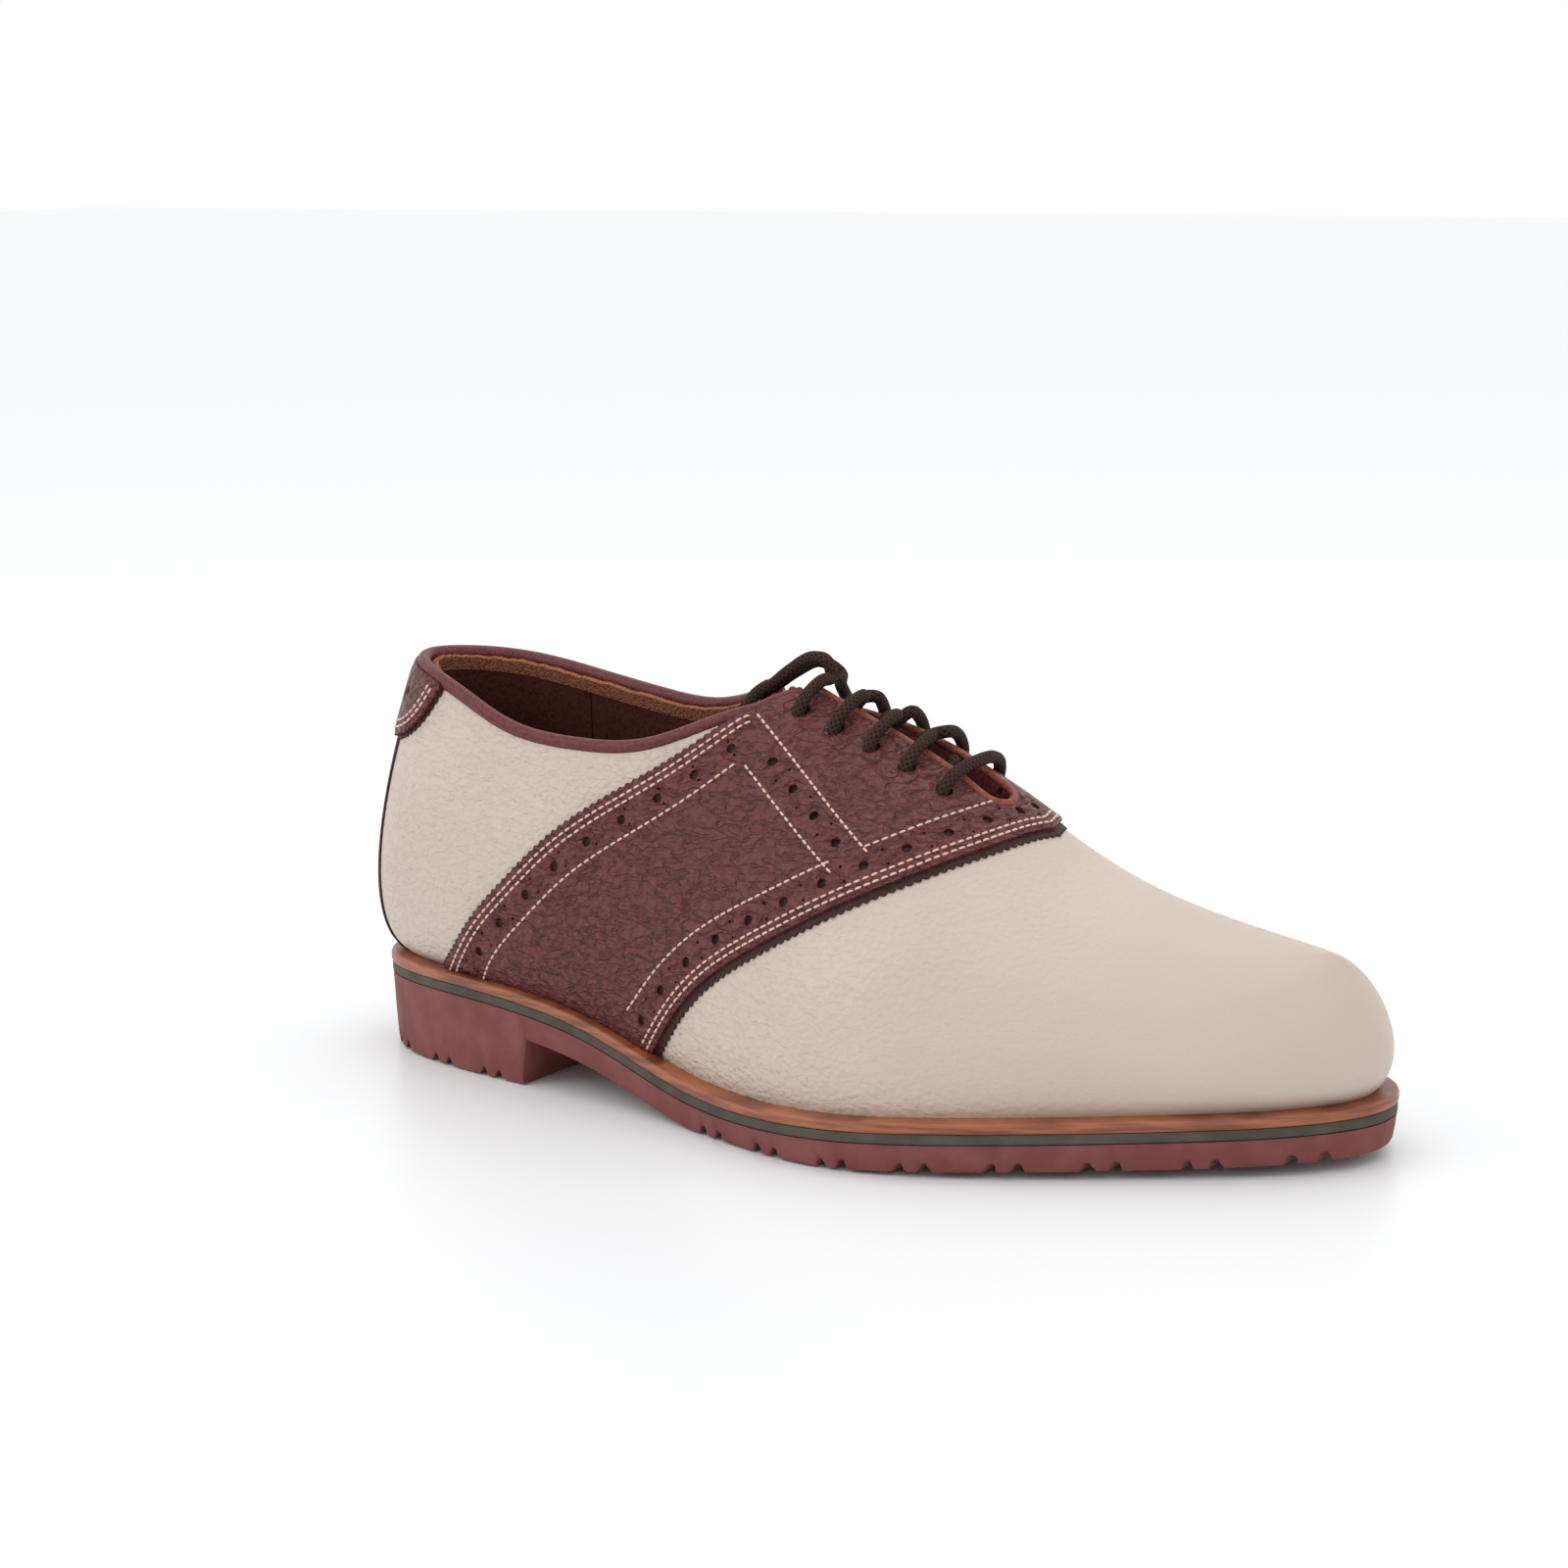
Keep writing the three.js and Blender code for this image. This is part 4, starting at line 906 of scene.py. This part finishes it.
STRIP_TOP, STRIP_HALF, STRIP_FLARE = 0.5, 18.5, 6.5
strip_t = np.linspace(EDGE_TUCK, STRIP_TOP, 60)
strip_down = np.clip(strip_t / STRIP_TOP, 0, 1)
strip_half = STRIP_HALF + STRIP_FLARE * (1 - strip_down ** 2 * (3 - 2 * strip_down))
strip_edge = np.column_stack([strip_half, strip_t * PLANE_Y])
strip_left = pinked(strip_edge * [-1, 1], on_heel, 0.7)
strip_right = pinked(strip_edge, on_heel, -0.7)
edging("back_strip_leather", on_heel, np.concatenate([strip_right, strip_left[::-1]]), 2.0, ["back_strip"])

patch_half = spline([(0.0, 0.462), (0.02, 0.474), (0.045, 0.492), (0.06, 0.53), (0.067, 0.588)])
half = patch_half(np.linspace(0, 1, 40)) * [HEEL_MM, PLANE_Y]
patch_low = np.concatenate([(half * [-1, 1])[::-1], half[1:]])
top_x = np.linspace(1, -1, 50) * half[-1, 0]
top_s = S_BACK + top_x / HEEL_MM
top_side = np.where(top_x >= 0, -1, 1)
patch_top = np.column_stack([top_x, (top_at(station(feather(top_s)[:, 0]), top_side) - 0.004) * PLANE_Y])
patch_teeth = pinked(patch_low, on_heel, -0.7)
patch_holes = [round_hole((x * HEEL_MM, t * PLANE_Y), r, on_heel, n) for x, t, r, n in (
    (0.0, 0.535, 1.3, 14), (-0.035, 0.555, 1.2, 12), (0.035, 0.555, 1.2, 12),
    (-0.018, 0.522, 0.45, 8), (0.018, 0.522, 0.45, 8), (-0.018, 0.56, 0.45, 8), (0.018, 0.56, 0.45, 8))]
cut_piece("back_patch_leather", on_heel, np.concatenate([patch_teeth, patch_top[1:-1]]), patch_holes,
          SADDLE, 1.6, OXBLOOD, "oxblood_leather", ["back_patch"])
dark_low = pinked(beside(patch_low, -1.0, on_heel), on_heel, -0.6)
edging("back_patch_edging", on_heel, np.concatenate([dark_low, patch_top[1:-1]]), 2.5)
thread_piece("back_patch_stitches",
             [stitch_row(beside(patch_low, d, on_heel)[2:-2], on_heel, SADDLE[1] + 0.05) for d in (1.7, 3.6)])

# ---------------------------------------------------------------------------
# Saddle: one piece of oxblood pebbled leather right over the instep, pinked behind, scalloped in front
# over a dark brown edging, with punched brogue holes between rows of cream stitching, and a band of the
# same down beside the facings. The facings are slit for the throat and punched for the laces.
HOLE_PITCH, HOLE_R, PIN_R = 12.0, 1.4, 0.42
EDGE_ROWS = (1.7, 3.7)
HOLE_LINE, INNER_ROW = 7.7, 12.6
EDGING_LAP = 10.5  # how far the edging reaches under the saddle, past its big holes
EYELET_ROWS, EYELET_INSET, EYELET_FIRST, EYELET_LAST = 5, 8.0, 0.446, 0.616


def set_back(t, side):
    """How far the rear edge stands back from the topline binding where it runs along it, millimetres."""
    top = float(top_at(TOPLINE_END, side))
    return 1.6 * np.clip((t - top + 0.03) / 0.03, 0, 1)


def rear_edge(side, t0, t1, count=120):
    """The saddle's rear edge in the pattern, from t0 to t1."""
    t = np.linspace(t0, t1, count)
    return to_plane(rear_at(t, side) + set_back(t, side) / LENGTH_PER_U, side * (1 - t))


def front_edge(tau0, tau1, count=240):
    """The saddle's front edge in the pattern, from tau0 to tau1."""
    tau = np.linspace(tau0, tau1, count)
    return to_plane(front_at(1 - np.abs(tau)), tau)


FOOT = 1 - EDGE_TUCK  # tau where the saddle's feet end, behind the welt


def saddle_border():
    """Lateral rear edge up, throat slot down and up, medial rear edge down, front edge back."""
    parts = []
    for side in (-1, 1):
        top = float(top_at(TOPLINE_END, side)) - 0.03
        _, corner_t = throat_corner(side)
        teeth = pinked(rear_edge(side, EDGE_TUCK, top), on_upper, 0.8 if side < 0 else -0.8)
        bound = rear_edge(side, top, corner_t - 0.005, 20)[1:]
        parts.append(np.concatenate([teeth, bound, throat_side(side, throat_start(side), THROAT_END)]))
    return np.concatenate([joined(parts), resample(front_edge(-FOOT, FOOT), on_upper, 1.5)[::-1]])


def eyelet_station(row):
    """Station u of a row of eyelets; row 0 is nearest the toe."""
    return EYELET_LAST + (EYELET_FIRST - EYELET_LAST) * row / (EYELET_ROWS - 1)


def eyelet_centre(row, side):
    """Pattern point of an eyelet."""
    u = eyelet_station(row)
    return across_plane(u, throat_centre(u) + side * (THROAT_HALF + EYELET_INSET))


def punched_line(q, pitch=HOLE_PITCH):
    """Big holes along a pattern line, and between each two a pair of pin holes across it."""
    centres = resample(q, on_upper, pitch)
    between = resample(q, on_upper, pitch / 2)[1::2]
    holes = [round_hole(c, HOLE_R, on_upper) for c in centres]
    if len(between) > 1:
        for across_mm in (-2.3, 2.3):
            holes += [round_hole(c, PIN_R, on_upper, 8) for c in beside(between, across_mm, on_upper)]
    return holes


stitches, punched = [], []


def sew(line):
    """A row of stitches along a pattern line of the saddle."""
    stitches.append(stitch_row(line, on_upper, SADDLE[1] + 0.04))


def band_line(u0, t0, u1, t1, side):
    """A straight line of the band beside the facing, from station u0 and t0 to u1 and t1."""
    return to_plane(np.linspace(u0, u1, 20), side * (1 - np.linspace(t0, t1, 20)))


for side in (-1, 1):  # a rear edge runs upwards, so the saddle lies to its right on the lateral side
    for d in EDGE_ROWS:
        sew(beside(rear_edge(side, 0.02, 0.79), side * d, on_upper))
    sew(beside(rear_edge(side, 0.04, 0.715), side * INNER_ROW, on_upper))
    punched += punched_line(beside(rear_edge(side, 0.075, 0.72), side * HOLE_LINE, on_upper))
    sew(band_line(0.426, 0.676, 0.566, 0.56, side))
    sew(band_line(0.41, 0.79, 0.592, 0.629, side))
    punched += punched_line(band_line(0.452, 0.71, 0.556, 0.62, side), 11.0)
    for foot_tau, top_tau, count in ((0.96, 0.487, 100), (0.43, 0.11, 60)):
        sew(beside(front_edge(side * foot_tau, side * top_tau, count), -side * INNER_ROW, on_upper))
for d in EDGE_ROWS:
    sew(beside(front_edge(-0.985, 0.985), d, on_upper))
punched += punched_line(beside(front_edge(-0.93, 0.93), HOLE_LINE, on_upper))
lace_holes = [round_hole(eyelet_centre(row, side), 2.3, on_upper, 16)
              for side in (-1, 1) for row in range(EYELET_ROWS)]
cut_piece("saddle_leather", on_upper, saddle_border(), punched + lace_holes, SADDLE, 1.9,
          OXBLOOD, "oxblood_leather", ["saddle"])
thread_piece("saddle_stitches", stitches)

front_band = resample(front_edge(-FOOT, FOOT), on_upper, TOOTH / 6)
scallops = np.abs(np.sin(np.arange(len(front_band)) * math.pi / 6))
band_front = beside(front_band, -1.6 - 0.8 * scallops, on_upper)
band_back = beside(front_band, EDGING_LAP, on_upper)
edging("saddle_front_edging", on_upper, np.concatenate([band_front, band_back[::-3]]), 2.2,
       ["saddle_front_gimp"])
for side, name in SIDES:
    sense = -side
    line = rear_edge(side, EDGE_TUCK, 0.775)
    teeth = pinked(beside(line, 0.9 * sense, on_upper), on_upper, 0.8 * sense)
    back = beside(resample(line, on_upper, 3.0), -EDGING_LAP * sense, on_upper)
    edging(f"saddle_rear_edging_{name}", on_upper, np.concatenate([teeth, back[::-1]]), 2.2,
           [f"saddle_rear_gimp_{name}"])
    # The doubler takes the near-black underlay finish: painted shade seen through the saddle's holes and at
    # the throat's edge.
    bpy.data.objects[f"saddle_doubler_{name}"].data.materials[0] = HOLE_SHADE_UNDERLAY

# ---------------------------------------------------------------------------
# Bindings: the topline is bound with a rolled oxblood strip about 4 mm thick, and each facing's edge
# with a thin tan one round the throat.
BINDING_R, THROAT_BEAD_R, BEAD_OFF = 2.0, 1.2, SADDLE[1] - 0.75


def through(points, per_span):
    """Centripetal Catmull-Rom curve through points, per_span samples to each span."""
    p = np.asarray(points, float)
    p = np.concatenate([[2 * p[0] - p[1]], p, [2 * p[-1] - p[-2]]])
    knots = np.concatenate([[0], np.cumsum(np.linalg.norm(np.diff(p, axis=0), axis=1) ** 0.5)])
    out = []
    for i in range(1, len(p) - 2):
        t = np.linspace(knots[i], knots[i + 1], per_span, endpoint=False)[:, None]

        def mixed(a, b, ta, tb):
            return a * (tb - t) / (tb - ta) + b * (t - ta) / (tb - ta)
        a1, a2, a3 = (mixed(p[i + k - 1], p[i + k], knots[i + k - 1], knots[i + k]) for k in (0, 1, 2))
        b1 = mixed(a1, a2, knots[i - 1], knots[i + 1])
        b2 = mixed(a2, a3, knots[i], knots[i + 2])
        out.append(mixed(b1, b2, knots[i], knots[i + 1]))
    return np.concatenate([*out, p[-2:-1]])


def swept(name, path, radius, material, slot, stands_for, sides=16):
    """A round cord swept along a path with frames carried along it without twist, domed at both ends; its
    UV map runs along in millimetres and once round."""
    ahead = unit(np.gradient(path, axis=0))
    frames = np.zeros_like(path)
    frames[0] = unit(np.cross(ahead[0], [0.3, 0.1, 1.0]))
    for i in range(1, len(path)):
        frames[i] = unit(frames[i - 1] - ahead[i] * (frames[i - 1] @ ahead[i]))
    other = np.cross(ahead, frames)
    length = run_length(path)
    radius = np.broadcast_to(np.asarray(radius, float), length.shape)
    dome = np.array([0.15, 0.6, 0.9])
    ends = [path[0] - ahead[0] * radius[0] * k for k in (0.6, 0.45, 0.2)]
    tails = [path[-1] + ahead[-1] * radius[-1] * k for k in (0.2, 0.45, 0.6)]
    centres = np.concatenate([ends, path, tails])
    radii = np.concatenate([radius[0] * dome, radius, radius[-1] * dome[::-1]])
    pick = np.concatenate([[0] * 3, np.arange(len(path)), [len(path) - 1] * 3])
    a = angles(sides)
    rings = centres[:, None] + radii[:, None, None] * (
        np.cos(a)[None, :, None] * frames[pick][:, None] + np.sin(a)[None, :, None] * other[pick][:, None])
    n = len(centres)
    faces = quads(n, sides, wrap_columns=True).tolist()
    faces += [list(range(sides)), list(range((n - 1) * sides, n * sides))]
    piece = new_piece(name, rings.reshape(-1, 3), faces, material, slot, stands_for, angle=70)
    mesh = piece.data
    uv = mesh.uv_layers.new(name="along")
    corner = np.zeros(len(mesh.loops), int)
    mesh.loops.foreach_get("vertex_index", corner)
    row, column = corner // sides, (corner % sides) / sides
    owner = np.repeat(np.arange(len(faces)), [len(face) for face in faces])
    seam = np.zeros(len(faces), bool)
    np.logical_or.at(seam, owner, column > 0.8)
    column = np.where(seam[owner] & (column < 0.2), column + 1, column)
    along = np.concatenate([[0] * 3, length, [length[-1]] * 3])[row]
    uv.data.foreach_set("uv", np.column_stack([along, column]).astype(np.float32).ravel())
    return piece


SMOOTH_OXBLOOD = pebbled_leather("smooth oxblood binding leather", "#693031", "#552526", 0.9, 0.06, 0.4)
TAN_BINDING = pebbled_leather("tan rolled binding leather", "#8A4A36", "#6E382B", 0.9, 0.06, 0.42)
collar_path = through(collar_points(0, -0.8)[::4], 3)
swept("topline_binding_leather", collar_path, BINDING_R, SMOOTH_OXBLOOD, "binding_leather",
      ["topline_binding"], sides=20)
bead = [on_upper(throat_side(side, throat_start(side), THROAT_END, 14), BEAD_OFF) for side in (-1, 1)]
bead_path = through(joined(bead), 4)
swept("throat_binding_leather", bead_path, THROAT_BEAD_R, TAN_BINDING, "tan_leather", ["throat_binding"])


def facing_wall(half, depths):
    """Rows of points down the cut edge of the facings, round the throat from top to top."""
    end = THROAT_END - (THROAT_HALF - half) / LENGTH_PER_U
    edges = [throat_side(side, throat_start(side), end, 60, half) for side in (-1, 1)]
    return np.array([joined([on_upper(edge, off) for edge in edges]) for off in depths])


wall_depths = np.linspace(0.9, -4.6, 8)
sheet_piece("throat_edge_leather", facing_wall(THROAT_HALF - 0.5, wall_depths),
            facing_wall(THROAT_HALF - 0.05, wall_depths), SMOOTH_OXBLOOD, "tan_leather")

# ---------------------------------------------------------------------------
# Tongue: soft oxblood leather under the laces, stitched down at the throat's end and standing up a
# little above the topline; it sits on a body of its own.
TONGUE_TOP, TONGUE_BASE, TONGUE_HALF = 0.368, 0.69, 22.0
TONGUE = (-11.2, -9.6)  # offsets of its underside and its top from the last
TONGUE_SINK, TONGUE_PLUMP = 2.6, 3.2  # sunk under the lace's ends; padded between the facings


def tongue():
    """A strip over the instep below the facings, with rounded top corners."""
    v = np.linspace(0, 1, 70)[:, None]
    w = np.linspace(-1, 1, 50)[None, :]
    u = TONGUE_TOP + (TONGUE_BASE - TONGUE_TOP) * v + 0.02 * (np.abs(w) ** 4) * (1 - v) ** 2
    half = TONGUE_HALF * (0.8 + 0.2 * np.sin(math.pi * v))
    d = throat_centre(u) + w * half
    sink = TONGUE_SINK * (1 - v) ** 2
    plump = TONGUE_PLUMP * np.exp(-((w * half) / 3.4) ** 2) * np.clip(v * 4, 0, 1)
    sheet_piece("tongue_leather", across(u, d, TONGUE[1] - sink + plump), across(u, d, TONGUE[0] - sink),
                SMOOTH_OXBLOOD, "oxblood_leather", ["tongue"], body="tongue")


tongue()

# ---------------------------------------------------------------------------
# Lace: one round braided cotton lace, waxed dark brown, 3.6 mm thick. It starts as a straight bar over
# the lowest pair of eyelets, crosses under the facings and over their edges row by row, and both ends
# are tucked in over the top of the throat.
LACE_R = 1.75
UNDER_FACING = -6.8
LOOP = [(0, 13, -5), (0, 15, -2.2), (0, 14.6, 1.6), (0, 11.5, 4.6), (0.05, 6.6, 5.5), (0.14, 2.6, 4.9)]
LACE_BAR = [(0, -14.8, -2.2), (0, -14.2, 1.8), (0, -11.2, 4.6), (0, -6, 5.2), (0, 0, 5.3),
            (0, 6, 5.2), (0, 11.2, 4.6), (0, 14.2, 1.8), (0, 14.8, -2.2)]
TUCK = [(0.38, 0.925, -1.4), (0.378, 0.86, -0.8), (0.38, 0.79, 0), (0.381, 0.71, 0), (0.38, 0.61, 0),
        (0.378, 0.5, 0), (0.37, 0.33, 0), (0.355, 0.17, 0.5), (0.32, 0.11, 1), (0.27, 0.1, 1), (0.22, 0.1, 1)]


def lace_at(row, d, off):
    """Point of the lace: row of eyelets, millimetres across from the throat's middle, and offset."""
    u = eyelet_station(row)
    return across(u, throat_centre(u) + d, off)


def strand(side, crossing):
    """One half of the lace: from under one facing up its eyelet, over its edge, down across the gap."""
    points = []
    for row in range(1, EYELET_ROWS):
        points += [(row - 0.5, -side * 0.8, crossing), (row - 0.16, side * 6.5, UNDER_FACING)]
        points += [(row + more, side * d, off) for more, d, off in LOOP]
        side = -side
    return points


def lace_tail(side):
    """Over the top of the throat, in beneath the facing and down the inner wall to the sock."""
    arch = [(4.35, side * 3, 8.5), (4.8, side * 1.6 - 1, 7), (5.15, side * 2 - 1.5, 1.5),
            (5.5, side * 3.4 - 1, -5)]
    return ([lace_at(*p) for p in arch]
            + [skin(at_station(u, side), t, UNDER_FACING - 0.2 - more) for u, t, more in TUCK])


def braided_cotton(name, light, dark):
    """Waxed round braid: two sets of strands crossing at a slant, 1.5 mm from one to the next."""
    material, tree = new_material(name, 0.8, IOR=1.3)
    uv = add_node(tree, "UVMap", uv_map="along").outputs["UV"]
    along, around, _ = add_node(tree, "SeparateXYZ", {"Vector": uv}).outputs
    waves = []
    for slant in (6.0, -6.0):
        turns = calc(tree, "MULTIPLY_ADD", along, 1 / 1.5, calc(tree, "MULTIPLY", around, slant))
        waves.append(calc(tree, "SINE", calc(tree, "MULTIPLY", turns, 2 * math.pi)))
    both = calc(tree, "MAXIMUM", *waves)
    dress(tree, mixed_colour(tree, remap(tree, both, -0.6, 0.9), dark, light), bump_from(tree, both, 0.16))
    return material


BRAID = braided_cotton("waxed dark brown cotton braid", "#402A22", "#1E120E")
route = ([lace_at(*p) for p in strand(1, 1.2)][::-1] + [lace_at(0.1, -11, -5.4)]
         + [lace_at(*p) for p in LACE_BAR] + [lace_at(0.1, 11, -5.4)]
         + [lace_at(*p) for p in strand(-1, -3.2)])
route = lace_tail(-1)[::-1] + route + lace_tail(1)
swept("lace_braid", through(route, 7), LACE_R, BRAID, "lace_cotton", ["lace"], sides=12)

# ---------------------------------------------------------------------------
# Studio: a white floor, a bright surround, two soft lights and the camera.
FLOOR_HALF, FLOOR_Z, SHOE_MIDDLE = 6.0, -0.0005, Vector((0, 0, 0.06))
corners = [(x * FLOOR_HALF, y * FLOOR_HALF, FLOOR_Z) for x, y in ((-1, -1), (1, -1), (1, 1), (-1, 1))]
floor_mesh = bpy.data.meshes.new("floor")
floor_mesh.from_pydata(corners, [], [(0, 1, 2, 3)])
floor_mesh.materials.append(plain("white painted sweep", "#F4F6F8", 0.35))
add_object("floor", floor_mesh)


def soft_light(name, place, size, watts):
    """A square area light aimed at the shoe."""
    data = bpy.data.lights.new(name, "AREA")
    data.size, data.energy = size, watts
    lamp = add_object(name, data)
    lamp.location = place
    lamp.rotation_euler = (SHOE_MIDDLE - Vector(place)).to_track_quat("-Z", "Y").to_euler()


soft_light("overhead", (0.0, 0.3, 1.5), 1.2, 4)
soft_light("front_left", (-1.0, -1.1, 1.0), 0.9, 4)
world = bpy.data.worlds.new("bright surround")
bpy.context.scene.world = world
world.use_nodes = True
surround = world.node_tree.nodes["Background"].inputs
surround["Color"].default_value, surround["Strength"].default_value = (1.0, 1.0, 1.0, 1.0), 1.0

AZIMUTH, ELEVATION, ROLL = (math.radians(a) for a in (33.41, 10.64, -0.855))
camera_data = bpy.data.cameras.new("camera")
camera_data.sensor_width, camera_data.lens = 36.0, 85.29
camera_data.clip_end = 50
camera = add_object("camera", camera_data)
ahead = Vector((-math.sin(AZIMUTH) * math.cos(ELEVATION), math.cos(AZIMUTH) * math.cos(ELEVATION),
                -math.sin(ELEVATION)))
level = ahead.cross(Vector((0, 0, 1))).normalized()
upward = level.cross(ahead)
right = level * math.cos(ROLL) + upward * math.sin(ROLL)
upright = -level * math.sin(ROLL) + upward * math.cos(ROLL)
turn = Matrix((right, upright, -ahead)).transposed().to_4x4()
camera.matrix_world = Matrix.Translation((0.52535, -0.81553, 0.26842)) @ turn
scene = bpy.context.scene
scene.camera = camera
scene.render.engine = "CYCLES"
scene.render.resolution_x = scene.render.resolution_y = 1600
scene.cycles.samples = 96
scene.cycles.use_denoising = True
scene.view_settings.view_transform = "Standard"
scene.view_settings.look = "None"
